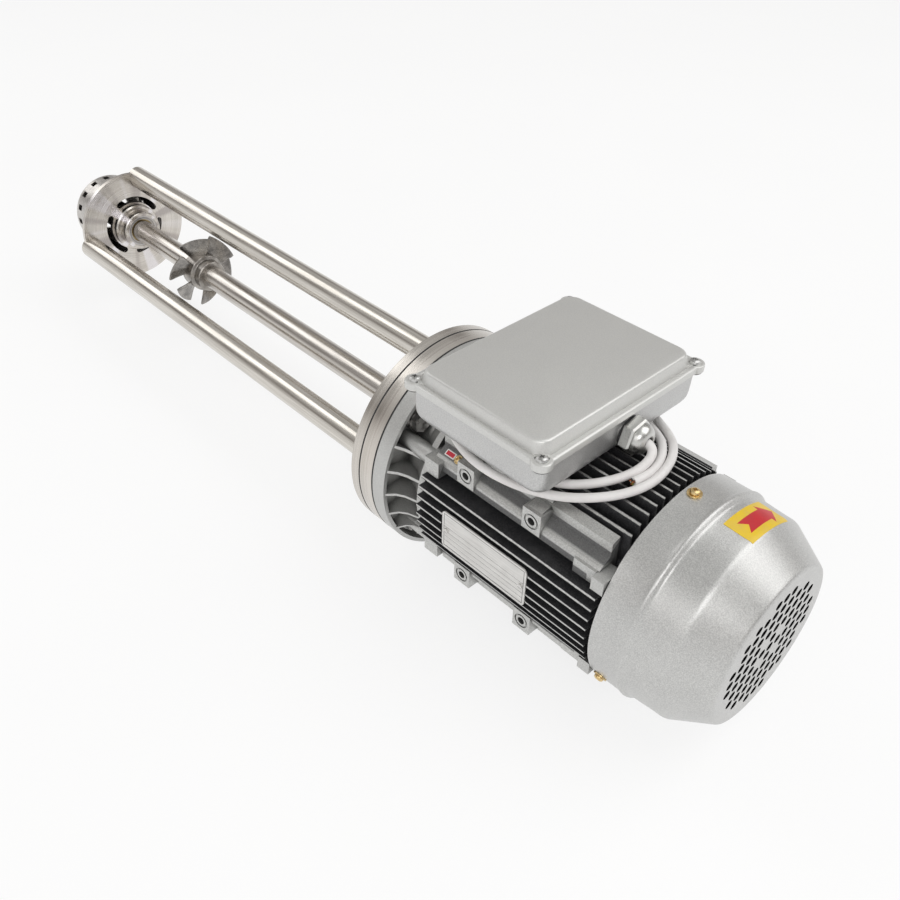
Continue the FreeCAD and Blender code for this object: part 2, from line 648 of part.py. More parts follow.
def shafts():
    """The long shaft, the motor's own shaft and what is fixed to them."""
    nose = f"({X_VANES} + rotor_hub_length)"
    long_shaft = turned("long_shaft_turned", [
        (f"{X_VANES} - 0.8", "0"), (f"{X_VANES} - 0.8", "5.2"), (X_VANES, "6"),
        (f"{X_VANES} + rotor_recess + 0.2", "6"),
        (f"{X_VANES} + rotor_recess + 0.2", "shaft_nose_radius - fit_gap"),
        (nose, "shaft_nose_radius - fit_gap"), (nose, "shaft_radius"),
        ("shaft_tail", "shaft_radius"), ("shaft_tail", "joint_radius + fit_gap"),
        ("shaft_tail - joint_length", "joint_radius + fit_gap"), ("shaft_tail - joint_length", "0")])
    keep(long_shaft, "long_shaft")
    nut = prism("rotor_nut_bar", "10", "6", f"{X_VANES} + rotor_recess - 6")
    keep(cut("rotor_nut_bored", nut, cylinder("rotor_nut_bore", "6.05", "6", f"{X_VANES} + rotor_recess - 6")),
         "rotor_nut")

    fan_end = f"({X_FAN} + 16)"
    front = X_FRONT_BEARING
    rear = X_REAR_BEARING
    seat = "bearing_inner - fit_gap"
    motor_shaft = turned("motor_shaft_turned", [
        ("shaft_tail - joint_length + 1", "0"), ("shaft_tail - joint_length + 1", "joint_radius"),
        ("shaft_tail + fit_gap", "joint_radius"), ("shaft_tail + fit_gap", "motor_shaft_radius"),
        (front, "motor_shaft_radius"), (front, seat),
        (f"{front} + bearing_width", seat), (f"{front} + bearing_width", "bearing_race - 1"),
        (rear, "bearing_race - 1"), (rear, seat), (f"{rear} + bearing_width", seat),
        (f"{rear} + bearing_width", "fan_seat_radius"), (fan_end, "fan_seat_radius"), (fan_end, "0")])
    keep(motor_shaft, "motor_shaft")


def bearings():
    """Sealed ball bearings: the outer race holds the shields that close in the balls."""
    for name, x in (("front_bearing", X_FRONT_BEARING), ("rear_bearing", X_REAR_BEARING)):
        keep(ring(name + "_inner", "bearing_race", "bearing_inner", "bearing_width", x),
             name + "_inner_race")
        keep(ring(name + "_outer", "bearing_outer", "bearing_race + running_gap", "bearing_width", x),
             name + "_outer_race")


def impeller():
    """The mixing impeller: a hub with six twisted blades and a collar with a set screw."""
    middle = "(0 - impeller_at)"
    start = f"({middle} - impeller_hub_length)"
    end = f"({middle} + impeller_collar_length)"
    body = turned("impeller_hub", [
        (start, "shaft_radius + fit_gap"), (start, "impeller_hub_radius - 2"),
        (f"{start} + 2", "impeller_hub_radius"), (middle, "impeller_hub_radius"),
        (middle, "impeller_collar_radius"), (f"{end} - 1", "impeller_collar_radius"),
        (end, "impeller_collar_radius - 1"), (end, "shaft_radius + fit_gap")])
    blade_middle = f"({start} + impeller_hub_length / 2)"
    loft = body.newObject("PartDesign::AdditiveLoft", "blade")
    sections = []
    for name, radius, chord, thick, pitch in (
            ("blade_root", "shaft_radius + 3", "blade_root_chord", "blade_root_thick", "blade_root_pitch"),
            ("blade_tip", "impeller_radius", "blade_tip_chord", "blade_tip_thick", "blade_tip_pitch")):
        along = f"cos(90 - {pitch})"
        across = f"sin(90 - {pitch})"
        corners = []
        for a, b in ((-1, -1), (1, -1), (1, 1), (-1, 1)):
            corners.append((
                f"{blade_middle} + ({a}) * {chord} / 2 * {along} - ({b}) * {thick} / 2 * {across}",
                f"({a}) * {chord} / 2 * {across} + ({b}) * {thick} / 2 * {along}"))
        sections.append(outline(body, name, "XY_Plane", corners, offset=radius))
    loft.Profile = sections[0]
    loft.Sections = [sections[1]]
    loft.Ruled = False
    body.Tip = loft
    around_x(body, "blades", [loft], "blade_count")
    screw_at = f"{middle} + impeller_collar_length / 2"
    screw_hole = circles(body, "set_screw_hole", "XY_Plane", [(screw_at, "0")], "2.1",
                         offset="shaft_radius")
    pocket(body, "set_screw_hole_cut", screw_hole, "impeller_collar_radius", back=True)
    keep(body, "mixing_impeller")
    keep(cylinder("set_screw", "2", "impeller_collar_radius - shaft_radius - 0.8",
                  screw_at, "0", "shaft_radius + 0.1", ALONG_Z), "impeller_set_screw")


def front_shield():
    """The cast flange end shield: a rim, a dished web, a bell and the gusset ribs."""
    front = f"({X_MOTOR} - spigot_length)"
    bearing = X_FRONT_BEARING
    body = turned("front_shield_cast", [
        (front, "shaft_passage"), (front, "spigot_radius"), (X_MOTOR, "spigot_radius"),
        (X_MOTOR, "flange_radius"), (X_RIM_END, "flange_radius"), (X_RIM_END, "flange_radius - 3.5"),
        (X_WEB_END, "flange_radius - 6.5"), (X_WEB_END, "68"),
        (f"{X_WEB_END} + 18", "74"), (f"{X_FRAME} - 9", "shield_mouth_radius - 3"),
        (f"{X_FRAME} - 6", "shield_mouth_radius"), (X_FRAME, "shield_mouth_radius"),
        (X_FRAME, "frame_bore - fit_gap"), (f"{X_FRAME} + 5", "frame_bore - fit_gap"),
        (f"{X_FRAME} + 5", "frame_bore - 5"), (f"{X_FRAME} - 10", "frame_bore - 1"),
        (f"{X_WEB_END} + 8", "60"), (f"{X_WEB_END} + 8", "bearing_outer + 8"),
        (f"{bearing} + bearing_width", "bearing_outer + 8"),
        (f"{bearing} + bearing_width", "bearing_outer + fit_gap"),
        (bearing, "bearing_outer + fit_gap"), (bearing, "shaft_passage")])
    ribs = []
    for k in range(-2, 3):
        turn = Rotation(Vector(1, 0, 0), 180 + val("rib_step") * k)
        rib = outline(body, f"rib_{k + 3}", "XZ_Plane", [
            (f"{X_WEB_END} - 2", "66"), (f"{X_WEB_END} - 2", "flange_radius - 2"),
            (X_RIM_END, "flange_radius - 2"), (f"{X_RIM_END} + 6", "flange_radius - 9"),
            (f"{X_RIM_END} + 13", "flange_radius - 13"), (f"{X_FRAME} - 6", "shield_mouth_radius"),
            (f"{X_FRAME} - 6", "frame_bore + 8"), (f"{X_WEB_END} + 16", "68")], turn=turn)
        ribs.append(pad(body, f"rib_pad_{k + 3}", rib, "rib_thick", midplane=True))
    around_x(body, "ribs", ribs, "4")
    boss_places = [on_circle("ear_circle", f"{side} + {sign} * ear_angle")
                   for side in (0, 180) for sign in (-1, 1)]
    bosses = circles(body, "boss_circles", "YZ_Plane", boss_places, "7.5", offset=f"{X_WEB_END} - 1")
    pad(body, "bosses", bosses, f"{X_FRAME} - {X_WEB_END} + 1")
    drill = circles(body, "shield_bolt_holes", "YZ_Plane", boss_places, "shield_bolt_radius + fit_gap",
                    offset=X_MOTOR)
    pocket(body, "shield_bolt_holes_cut", drill, "shield_length", back=True)
    sink = circles(body, "shield_bolt_sinks", "YZ_Plane", boss_places, "5.6", offset=X_MOTOR)
    pocket(body, "shield_bolt_sinks_cut", sink, "6.4", back=True)
    bolt_places = [on_circle("flange_bolt_circle", f"{45 + 90 * k}") for k in range(4)]
    faces = circles(body, "bolt_faces", "YZ_Plane", bolt_places, "flange_bolt_radius * 2 + 1",
                    offset=X_WEB_END)
    pocket(body, "bolt_faces_cut", faces, "motor_flange_thick + 3", back=True)
    holes = circles(body, "flange_holes", "YZ_Plane", bolt_places, "flange_bolt_radius + 1",
                    offset=X_MOTOR)
    pocket(body, "flange_holes_cut", holes, "flange_web_thick", back=True)
    keep(body, "front_end_shield")
    screws = []
    for k, (y, z) in enumerate(boss_places):
        head = cylinder(f"front_bolt_head_{k}", "5", "6", f"{X_MOTOR} + 0.4", y, z)
        shank = cylinder(f"front_bolt_shank_{k}", "shield_bolt_radius", "shield_length + 6",
                         f"{X_MOTOR} + 6.4", y, z)
        screws.append(fuse(f"front_bolt_{k}", [head, shank]))
    keep(group("front_bolt_set", screws), "front_shield_bolts")


def fins():
    """Parallel fins on four sides, trimmed to one round envelope."""
    length = "frame_length"
    plates = []
    for k in range(int(val("side_fin_count"))):
        z = f"({k} - (side_fin_count - 1) / 2) * side_fin_pitch"
        plates.append(block(f"side_fin_{k}", length, "2 * fin_radius", "fin_thick", X_FRAME, "0", z))
    for k in range(int(val("top_fin_count"))):
        y = f"({k} - (top_fin_count - 1) / 2) * top_fin_pitch"
        plates.append(block(f"top_fin_{k}", length, "fin_thick", "2 * fin_radius", X_FRAME, y, "0"))
    envelope = cylinder("fin_envelope", "fin_radius", "frame_length", X_FRAME)
    return common("fins_trimmed", fuse("fin_plates", plates), envelope)


def corner_rail(name, side, up):
    """A stepped rail along one corner of the frame, between its lugs and its ears."""
    body = new_body(name)
    profile = outline(body, name + "_profile", "YZ_Plane", [
        (f"{side} * (frame_radius * 0.62)", f"{up} * 42"),
        (f"{side} * (frame_radius * 0.62)", f"{up} * 58"),
        (f"{side} * 56", f"{up} * 72"), (f"{side} * 64", f"{up} * 69"), (f"{side} * 64", f"{up} * 58"),
        (f"{side} * 73", f"{up} * 52"), (f"{side} * 75", f"{up} * 50"), (f"{side} * 75", f"{up} * 42")],
        offset=f"{X_FRAME} + 6")
    pad(body, name + "_bar", profile, "frame_length - 12")
    return body


def lug(name, side, up, x):
    """A square lug with a flat face, a sloping web above it and a tapped hole."""
    depth = "lug_face - 50"
    solid = block(name + "_block", "lug_width", depth, "lug_depth", f"{x} - lug_width / 2",
                  f"{side} * (50 + ({depth}) / 2)", f"{up} * lug_height")
    body = new_body(name + "_web")
    web = outline(body, name + "_web_profile", "YZ_Plane", [
        (f"{side} * 46", f"{up} * 52"), (f"{side} * 46", f"{up} * 74"), (f"{side} * 60", f"{up} * 74"),
        (f"{side} * 64", f"{up} * 68"), (f"{side} * (lug_face - 3)", f"{up} * (lug_height + lug_depth / 2)"),
        (f"{side} * (lug_face - 3)", f"{up} * 52")], offset=f"{x} - lug_width / 2 + 2")
    pad(body, name + "_web_pad", web, "lug_width - 4")
    return [solid, body]


def lug_tools(name, side, up, x):
    """The tapped hole in a lug and the shallow ring cut round it."""
    turn = Rotation(Vector(1, 0, 0), 90 if side > 0 else -90)
    y = f"{side} * lug_face"
    z = f"{up} * lug_height"
    hole = cylinder(name + "_hole", "lug_hole_radius", "lug_hole_depth", x, y, z, turn)
    groove = cut(name + "_groove",
                 cylinder(name + "_groove_outside", "lug_hole_radius + 3.4", "0.8", x, y, z, turn),
                 cylinder(name + "_groove_inside", "lug_hole_radius + 2", "0.8", x, y, z, turn))
    return [hole, groove]


def frame_ear(name, side, up, x, length):
    """A block on the frame that takes an end shield bolt."""
    y, z = on_circle("ear_circle + 1", f"{90 - 90 * side} + {side * up} * ear_angle")
    return block(name, length, "20", "15", x, y, z)


def motor_frame():
    """The finned frame with its corner rails, lugs, ears and the neck for the box."""
    pieces = [cylinder("frame_barrel", "frame_radius", "frame_length", X_FRAME), fins()]
    tools = [cylinder("frame_bore_tool", "frame_bore", "frame_length", X_FRAME)]
    for side in (-1, 1):
        for up in (-1, 1):
            corner = f"{'left' if side < 0 else 'right'}_{'low' if up < 0 else 'high'}"
            pieces.append(corner_rail(f"rail_{corner}", side, up))
            pieces.append(frame_ear(f"front_ear_{corner}", side, up, X_FRAME, "16"))
            y, z = on_circle("ear_circle", f"{90 - 90 * side} + {side * up} * ear_angle")
            tools.append(cylinder(f"front_ear_hole_{corner}", "shield_bolt_radius + fit_gap", "14",
                                  X_FRAME, y, z))
            tools.append(cylinder(f"rear_ear_hole_{corner}", "shield_bolt_radius + fit_gap", "14",
                                  f"{X_FRAME_END} - 7.3 - 14", y, z))
            tools.append(block(f"rear_ear_room_{corner}", "7.4", "34", "12.6",
                               f"{X_FRAME_END} - 7.3", f"{y} + {side} * 9", z))
            pieces.append(block(f"rear_ear_pad_{corner}", "20", "16", "13",
                                f"{X_FRAME_END} - 7.3 - 20", y, z))
            for number, x in (("1", f"{X_FRAME} + lug_front"),
                              ("2", f"{X_FRAME} + lug_front + lug_spacing")):
                name = f"lug_{corner}_{number}"
                pieces.extend(lug(name, side, up, x))
                tools.extend(lug_tools(name, side, up, x))
    pieces.append(block("box_neck", "2 * neck_half_length", "2 * neck_half_width", "box_floor - 60",
                        "box_x - neck_half_length", "0", "(box_floor + 60) / 2"))
    tools.append(block("plate_seat", "plate_length + 2", "10", "plate_height + 2",
                       "plate_x - plate_length / 2 - 1", "0 - plate_y - 5", "0"))
    keep(cut("frame_cast", fuse("frame_pieces", pieces), fuse("frame_tools", tools)), "motor_frame")


def rear_shield():
    """The rear end shield, with four ears in front of the cowl and three cowl bosses."""
    bearing = X_REAR_BEARING
    inside = "(cowl_radius - cowl_sheet - fit_gap)"
    start = X_FRAME_END
    body = turned("rear_shield_cast", [
        (f"{start} - 5", "frame_bore - 5"), (f"{start} - 5", "frame_bore - fit_gap"),
        (start, "frame_bore - fit_gap"), (start, "80"), (f"{start} + 6", "80"),
        (f"{start} + 12", "70"), (f"{start} + 16", "44"), (f"{bearing} + bearing_width + 4", "36"),
        (f"{bearing} + bearing_width + 4", "motor_shaft_radius + 2"),
        (f"{bearing} + bearing_width", "motor_shaft_radius + 2"),
        (f"{bearing} + bearing_width", "bearing_outer + fit_gap"), (bearing, "bearing_outer + fit_gap"),
        (bearing, "bearing_outer + 8"), (f"{start} + 4", "bearing_outer + 10"),
        (f"{start} + 4", "frame_bore - 5")])
    boss = rectangle(body, "cowl_boss", "XY_Plane", "6", "8",
                     (f"{X_COWL} + cowl_screw_at", "0"), offset="66")
    boss_pad = pad(body, "cowl_boss_pad", boss, f"{inside} - 66 - 0.5")
    around_x(body, "cowl_bosses", [boss_pad], "3")
    hole = circles(body, "cowl_screw_hole", "XY_Plane", [(f"{X_COWL} + cowl_screw_at", "0")],
                   "2.1", offset="74")
    hole_cut = pocket(body, "cowl_screw_hole_cut", hole, "20", back=True)
    around_x(body, "cowl_screw_holes", [hole_cut], "3")
    ear_places = [on_circle("ear_circle", f"{side} + {sign} * ear_angle")
                  for side in (0, 180) for sign in (-1, 1)]
    for k, (y, z) in enumerate(ear_places):
        side = 1 if k < 2 else -1
        ear = rectangle(body, f"rear_ear_{k}", "YZ_Plane", "10", "6", (f"{y} + {side} * 2.5", z),
                        offset=f"{start} - 7.2")
        pad(body, f"rear_ear_pad_{k}", ear, "11")
    faces = circles(body, "rear_bolt_faces", "YZ_Plane", ear_places, "6.2", offset=f"{start} + 3.8")
    pocket(body, "rear_bolt_faces_cut", faces, "10", back=True)
    drill = circles(body, "rear_bolt_holes", "YZ_Plane", ear_places, "shield_bolt_radius + fit_gap",
                    offset=f"{start} - 7.2")
    pocket(body, "rear_bolt_holes_cut", drill, "16", back=True)
    keep(body, "rear_end_shield")
    bolts = []
    for k, (y, z) in enumerate(ear_places):
        head = prism(f"rear_bolt_head_{k}", "5.6", "4", f"{start} + 3.8", y, z)
        shank = cylinder(f"rear_bolt_shank_{k}", "shield_bolt_radius", "22", f"{start} - 18", y, z)
        bolts.append(fuse(f"rear_bolt_{k}", [head, shank]))
    keep(group("rear_bolt_set", bolts), "rear_shield_bolts")


def grille_places():
    """Rows of staggered holes that fill a round field and leave its centre blank."""
    pitch = val("grille_pitch")
    reach = val("grille_radius")
    rows = int(reach // (pitch * 0.87))
    places = []
    for row in range(-rows, rows + 1):
        up = row * 0.87
        shift = 0.5 * (row % 2)
        for column in range(-rows - 1, rows + 2):
            across = column + shift
            distance = pitch * math.hypot(across, up)
            if val("grille_blank") < distance <= reach:
                places.append((f"grille_pitch * {across}", f"grille_pitch * {round(up, 3)}"))
    return places


def cowl():
    """The pressed fan cowl with a bead, a rounded cone and the end grille."""
    sheet_thick = "cowl_sheet"
    outer = [
        ("0", "cowl_radius"), ("cowl_bead_at - 3", "cowl_radius"), ("cowl_bead_at", "cowl_radius - 2.2"),
        ("cowl_shoulder_at - 6", "cowl_shoulder_radius + 0.8"),
        ("cowl_shoulder_at + 2", "cowl_shoulder_radius - 2"),
        ("cowl_length - 3", "cowl_end_radius + 1.5"), ("cowl_length", "cowl_end_radius - 1.5")]
    inner = [(f"({x}) - {sheet_thick} * 0.5", f"({r}) - {sheet_thick} * 0.85") for x, r in outer[1:-1]]
    points = [(f"{X_COWL} + {x}", r) for x, r in outer]
    points.append((X_COWL_END, "0"))
    points.append((f"{X_COWL_END} - {sheet_thick}", "0"))
    points.append((f"{X_COWL_END} - {sheet_thick}", "cowl_end_radius - 2.2"))
    points.extend((f"{X_COWL} + {x}", r) for x, r in reversed(inner))
    points.append((X_COWL, f"cowl_radius - {sheet_thick}"))
    body = turned("cowl_pressed", points)
    holes = circles(body, "grille", "YZ_Plane", grille_places(), "grille_hole",
                    offset=f"{X_COWL_END} - {sheet_thick} - 1")
    pocket(body, "grille_cut", holes, f"{sheet_thick} + 2", back=True)
    hole = circles(body, "cowl_hole", "XY_Plane", [(f"{X_COWL} + cowl_screw_at", "0")], "2.6",
                   offset="cowl_radius - 6")
    hole_cut = pocket(body, "cowl_hole_cut", hole, "12", back=True)
    around_x(body, "cowl_holes", [hole_cut], "3")
    keep(body, "fan_cowl")
    screws = []
    washers = []
    for k in range(3):
        turn = Rotation(Vector(1, 0, 0), 120 * k)
        angle = f"{90 + 120 * k}"
        x = f"{X_COWL} + cowl_screw_at"
        y, z = on_circle("cowl_radius", angle)
        washers.append(ring(f"cowl_washer_{k}", "6", "2.6", "1.2", x, y, z, turn))
        y, z = on_circle("cowl_radius + 1.2", angle)
        head = cylinder(f"cowl_screw_head_{k}", "4.4", "3.4", x, y, z, turn)
        y, z = on_circle("cowl_radius - 11", angle)
        shank = cylinder(f"cowl_screw_shank_{k}", "2", "13", x, y, z, turn)
        screws.append(fuse(f"cowl_screw_{k}", [head, shank]))
    keep(group("cowl_screw_set", screws), "cowl_screws")
    keep(group("cowl_washer_set", washers), "cowl_washers")


def cooling_fan():
    """A radial fan: a hub, a back disc and straight blades."""
    body = turned("fan_hub", [
        (f"{X_FAN} - 22", "fan_seat_radius + fit_gap"), (f"{X_FAN} - 22", "20"),
        (f"{X_FAN} - 20", "22"), (f"{X_FAN} - 20", "52"), (f"{X_FAN} - 17.5", "54"),
        (f"{X_FAN} - 17.5", "22"), (X_FAN, "20"), (X_FAN, "fan_seat_radius + fit_gap")])
    blade = rectangle(body, "fan_blade", "XY_Plane", "11", "1.2", (f"{X_FAN} - 11", "0"), offset="18")
    blade_pad = pad(body, "fan_blade_pad", blade, "fan_radius - 18")
    around_x(body, "fan_blade_set", [blade_pad], "fan_blades")
    keep(body, "cooling_fan")
    keep(ring("fan_clip_ring", "fan_seat_radius + 4", "fan_seat_radius + fit_gap", "1.5", f"{X_FAN} + 0.3"),
         "fan_circlip")


def motor_inside():
    """Stator core, end turns and rotor core."""
    stator_bore = "rotor_core_radius + air_gap"
    keep(ring("stator_core_stack", "frame_bore - fit_gap", stator_bore, "core_length", X_CORE),
         "stator_core")
    for name, x in (("front_winding", f"{X_CORE} - winding_overhang"), ("rear_winding", X_CORE_END)):
        keep(ring(name + "_turns", "frame_bore - 6", f"{stator_bore} + 4", "winding_overhang", x), name)
    core = ring("rotor_core_stack", "rotor_core_radius", "bearing_race - 1 + fit_gap",
                "core_length + 16", f"{X_CORE} - 8")
    keep(core, "rotor_core")


def box_screw_places():
    return [(f"box_x + ({a}) * lid_screw_x", f"({b}) * lid_screw_y") for a in (-1, 1) for b in (-1, 1)]


def terminal_box():
    """The cast box: drafted walls with rounded corners, open on top, screw ears."""
    middle = ("box_x", "0")
    places = box_screw_places()
    body = new_body("box_cast")
    rim = rounded(body, "box_rim_outline", "box_half_length", "box_half_width", "box_round", middle,
                  "box_rim")
    height = "(box_rim - box_floor)"
    pad(body, "box_block", rim, height, draft="0 - box_draft", back=True)
    floor = val("box_floor")
    round_edges(body, "box_bottom", "box_round - 6.5", lambda edge: edge.BoundBox.ZMax < floor + 0.01)
    ears = circles(body, "box_ears", "XY_Plane", places, "lid_ear - 1", offset="box_rim")
    pad(body, "box_ear_pads", ears, "14", back=True)
    inside = rounded(body, "box_inside", "box_half_length - box_wall", "box_half_width - box_wall",
                     "box_round - box_wall", middle, "box_rim")
    pocket(body, "box_hollow", inside, f"{height} - box_wall", draft="0 - box_draft - 3")
    pillars = circles(body, "box_pillars", "XY_Plane", places, "5.4", offset="box_rim")
    pad(body, "box_pillar_pads", pillars, "14", back=True)
    threads = circles(body, "box_threads", "XY_Plane", places, "2.6", offset="box_rim")
    pocket(body, "box_threads_cut", threads, "13")
    boss = circles(body, "gland_boss", "YZ_Plane", [("gland_y", "gland_z")], "12.9",
                   offset=f"{X_GLAND} - 9")
    pad(body, "gland_boss_pad", boss, "9")
    seat = circles(body, "gland_seat_circle", "YZ_Plane", [("gland_y", "gland_z")],
                   "gland_hex_radius + 0.5", offset=X_GLAND)
    pocket(body, "gland_seat_cut", seat, "6", back=True)
    hole = circles(body, "gland_hole", "YZ_Plane", [("gland_y", "gland_z")], "gland_thread + fit_gap",
                   offset=f"{X_BOX_REAR} - 30")
    pocket(body, "gland_hole_cut", hole, "30", back=True)
    keep(body, "terminal_box")

    gasket = new_body("lid_gasket_sheet")
    flat = rounded(gasket, "gasket_outline", "box_half_length", "box_half_width", "box_round", middle,
                   "box_rim")
    pad(gasket, "gasket_pad", flat, "box_gasket")
    eyes = circles(gasket, "gasket_ears", "XY_Plane", places, "lid_ear - 1", offset="box_rim")
    pad(gasket, "gasket_ear_pads", eyes, "box_gasket")
    opening = rounded(gasket, "gasket_opening", "box_half_length - box_wall",
                      "box_half_width - box_wall", "box_round - box_wall", middle, "box_rim")
    pocket(gasket, "gasket_opening_cut", opening, "box_gasket", back=True)
    pads = circles(gasket, "gasket_pads", "XY_Plane", places, "5.4", offset="box_rim")
    pad(gasket, "gasket_pads_pad", pads, "box_gasket")
    holes = circles(gasket, "gasket_holes", "XY_Plane", places, "2.6", offset="box_rim")
    pocket(gasket, "gasket_holes_cut", holes, "box_gasket", back=True)
    keep(gasket, "lid_gasket")


def lid():
    """The lid: a lip with four screw ears, a stepped bead and a raised panel."""
    middle = ("box_x", "0")
    places = box_screw_places()
    half_x = "(box_half_length + lid_overhang)"
    half_y = "(box_half_width + lid_overhang)"
    body = new_body("lid_cast")
    lip = rounded(body, "lip_outline", half_x, half_y, "box_round", middle, LID_Z)
    pad(body, "lip", lip, "lid_lip", draft="0 - 12")
    ears = circles(body, "lid_ears", "XY_Plane", places, "lid_ear", offset=LID_Z)
    pad(body, "lid_ear_pads", ears, "lid_lip")
    inset = "lid_step_inset"
    step = rounded(body, "step_outline", f"({half_x} - {inset})", f"({half_y} - {inset})",
                   "box_round", middle, f"{LID_Z} + lid_lip")
    pad(body, "step", step, "lid_step", draft="0 - 16")
    inset = "lid_step_inset - lid_top_inset"
    panel = rounded(body, "panel_outline", f"({half_x} - {inset})", f"({half_y} - {inset})",
                    "(box_round - 2)", middle, f"{LID_Z} + lid_lip + lid_step")
    pad(body, "panel", panel, "lid_top", draft="0 - 24")
    top = val("box_rim") + val("box_gasket") + val("lid_lip") + val("lid_step") + val("lid_top") - 0.1
    round_edges(body, "panel_top", "1.5", lambda edge: edge.BoundBox.ZMin > top)
    inside = rounded(body, "lid_inside", f"({half_x} - {inset} - 4)", f"({half_y} - {inset} - 4)",
                     "(box_round - 4)", middle, LID_Z)
    pocket(body, "lid_hollow", inside, "lid_lip + lid_step + lid_top - lid_wall", back=True)
    holes = circles(body, "lid_holes", "XY_Plane", places, "2.6", offset=LID_Z)
    pocket(body, "lid_holes_cut", holes, "lid_lip", back=True)
    keep(body, "terminal_box_lid")
    screws = []
    for k, (x, y) in enumerate(places):
        head = cylinder(f"lid_screw_head_{k}", "4.6", "3.2", x, y, f"{LID_Z} + lid_lip", ALONG_Z)
        shank = cylinder(f"lid_screw_shank_{k}", "2.4", "lid_lip + box_gasket + 10", x, y,
                         "box_rim - 10", ALONG_Z)
        screws.append(fuse(f"lid_screw_{k}", [head, shank]))
    keep(group("lid_screw_set", screws), "lid_screws")


def box_inside():
    """The terminal board, its studs and the two capacitors of a single phase motor."""
    floor = "(box_floor + box_wall)"
    keep(block("board", "50", "34", "6", "box_x - 25", "0", f"{floor} + 3"), "terminal_board")
    studs = []
    for row in range(2):
        for column in range(3):
            studs.append(cylinder(f"stud_{row}_{column}", "2.5", "12", f"box_x - 15 + {15 * column}",
                                  f"{16 * row} - 8", f"{floor} + 6", ALONG_Z))
    keep(group("stud_set", studs), "terminal_studs")
    for name, y in (("start_capacitor", "0 - 48"), ("run_capacitor", "48")):
        can = cylinder(name + "_can", "16", "74", "box_x - 37", y, f"{floor} + 16.2")
        keep(can, name)


def gland():
    """The cable gland: a collar on the wall, a ring, a dome nut and a lock nut inside."""
    y, z = "gland_y", "gland_z"
    face = X_GLAND
    collar = prism("gland_collar", "gland_hex_radius - 1.5", "gland_face", face, y, z)
    neck = cylinder("gland_neck", "gland_thread", "15 + gland_face + 9", f"{face} - 15", y, z)
    bore = cylinder("gland_bore", "cable_radius + 1", "60", f"{face} - 30", y, z)
    keep(cut("gland_body_bored", fuse("gland_body_solid", [collar, neck]), bore), "gland_body")
    keep(ring("gland_ring_cut", "gland_hex_radius - 2.5", "gland_thread + fit_gap", "1.8",
              f"{face} + gland_face", y, z), "gland_ring")
    nut_at = f"({face} + gland_face + 1.8)"
    nut = prism("dome_nut_hex", "gland_hex_radius", "gland_hex_length", nut_at, y, z)
    dome_at = f"({nut_at} + gland_hex_length)"
    profile = [
        (f"{dome_at} - 1", "0"), (f"{dome_at} - 1", "gland_hex_radius - 2.2"),
        (f"{dome_at} + gland_dome_length * 0.3", "gland_hex_radius - 2.6"),
        (f"{dome_at} + gland_dome_length * 0.65", "gland_hex_radius - 4.6"),
        (f"{dome_at} + gland_dome_length * 0.9", "gland_hex_radius - 7.6"),
        (f"{dome_at} + gland_dome_length", "gland_hex_radius - 9.6"),
        (f"{dome_at} + gland_dome_length", "0")]
    dome = turned("dome_nut_dome", profile)
    bind(dome, "Placement.Base.y", y)
    bind(dome, "Placement.Base.z", z)
    hollow = cylinder("dome_nut_thread", "gland_thread + fit_gap", "gland_hex_length + 0.6", nut_at, y, z)
    mouth = cylinder("dome_nut_mouth", "cable_radius + 1", "40", nut_at, y, z)
    keep(cut("dome_nut_cut", fuse("dome_nut_solid", [nut, dome]), fuse("dome_nut_tools", [hollow, mouth])),
         "gland_dome_nut")
    inner = f"({face} - 9)"
    lock = prism("lock_nut_hex", "gland_hex_radius - 3.6", "4", f"{inner} - 4", y, z)
    keep(cut("lock_nut_cut", lock, cylinder("lock_nut_bore", "gland_thread + fit_gap", "4",
                                            f"{inner} - 4", y, z)), "gland_lock_nut")


def nameplate():
    """The blank nameplate on the side fins, with two rivets."""
    body = new_body("nameplate_sheet")
    face = rectangle(body, "nameplate_outline", "XZ_Plane", "plate_length / 2", "plate_height / 2",
                     ("plate_x", "0"), offset="plate_y")
    pad(body, "nameplate_pad", face, "plate_thick")
    round_edges(body, "nameplate_corners", "4",
                lambda edge: edge.BoundBox.YLength > 0.5 * val("plate_thick"))
    keep(body, "nameplate")
    turn = Rotation(Vector(1, 0, 0), 90)
    rivets = []
    for k, sign in enumerate((-1, 1)):
        rivets.append(cylinder(f"rivet_{k}", "2.2", "1.2", f"plate_x + {sign} * (plate_length / 2 - 5)",
                               "0 - plate_y - plate_thick", "0", turn))
    keep(group("rivet_set", rivets), "nameplate_rivets")


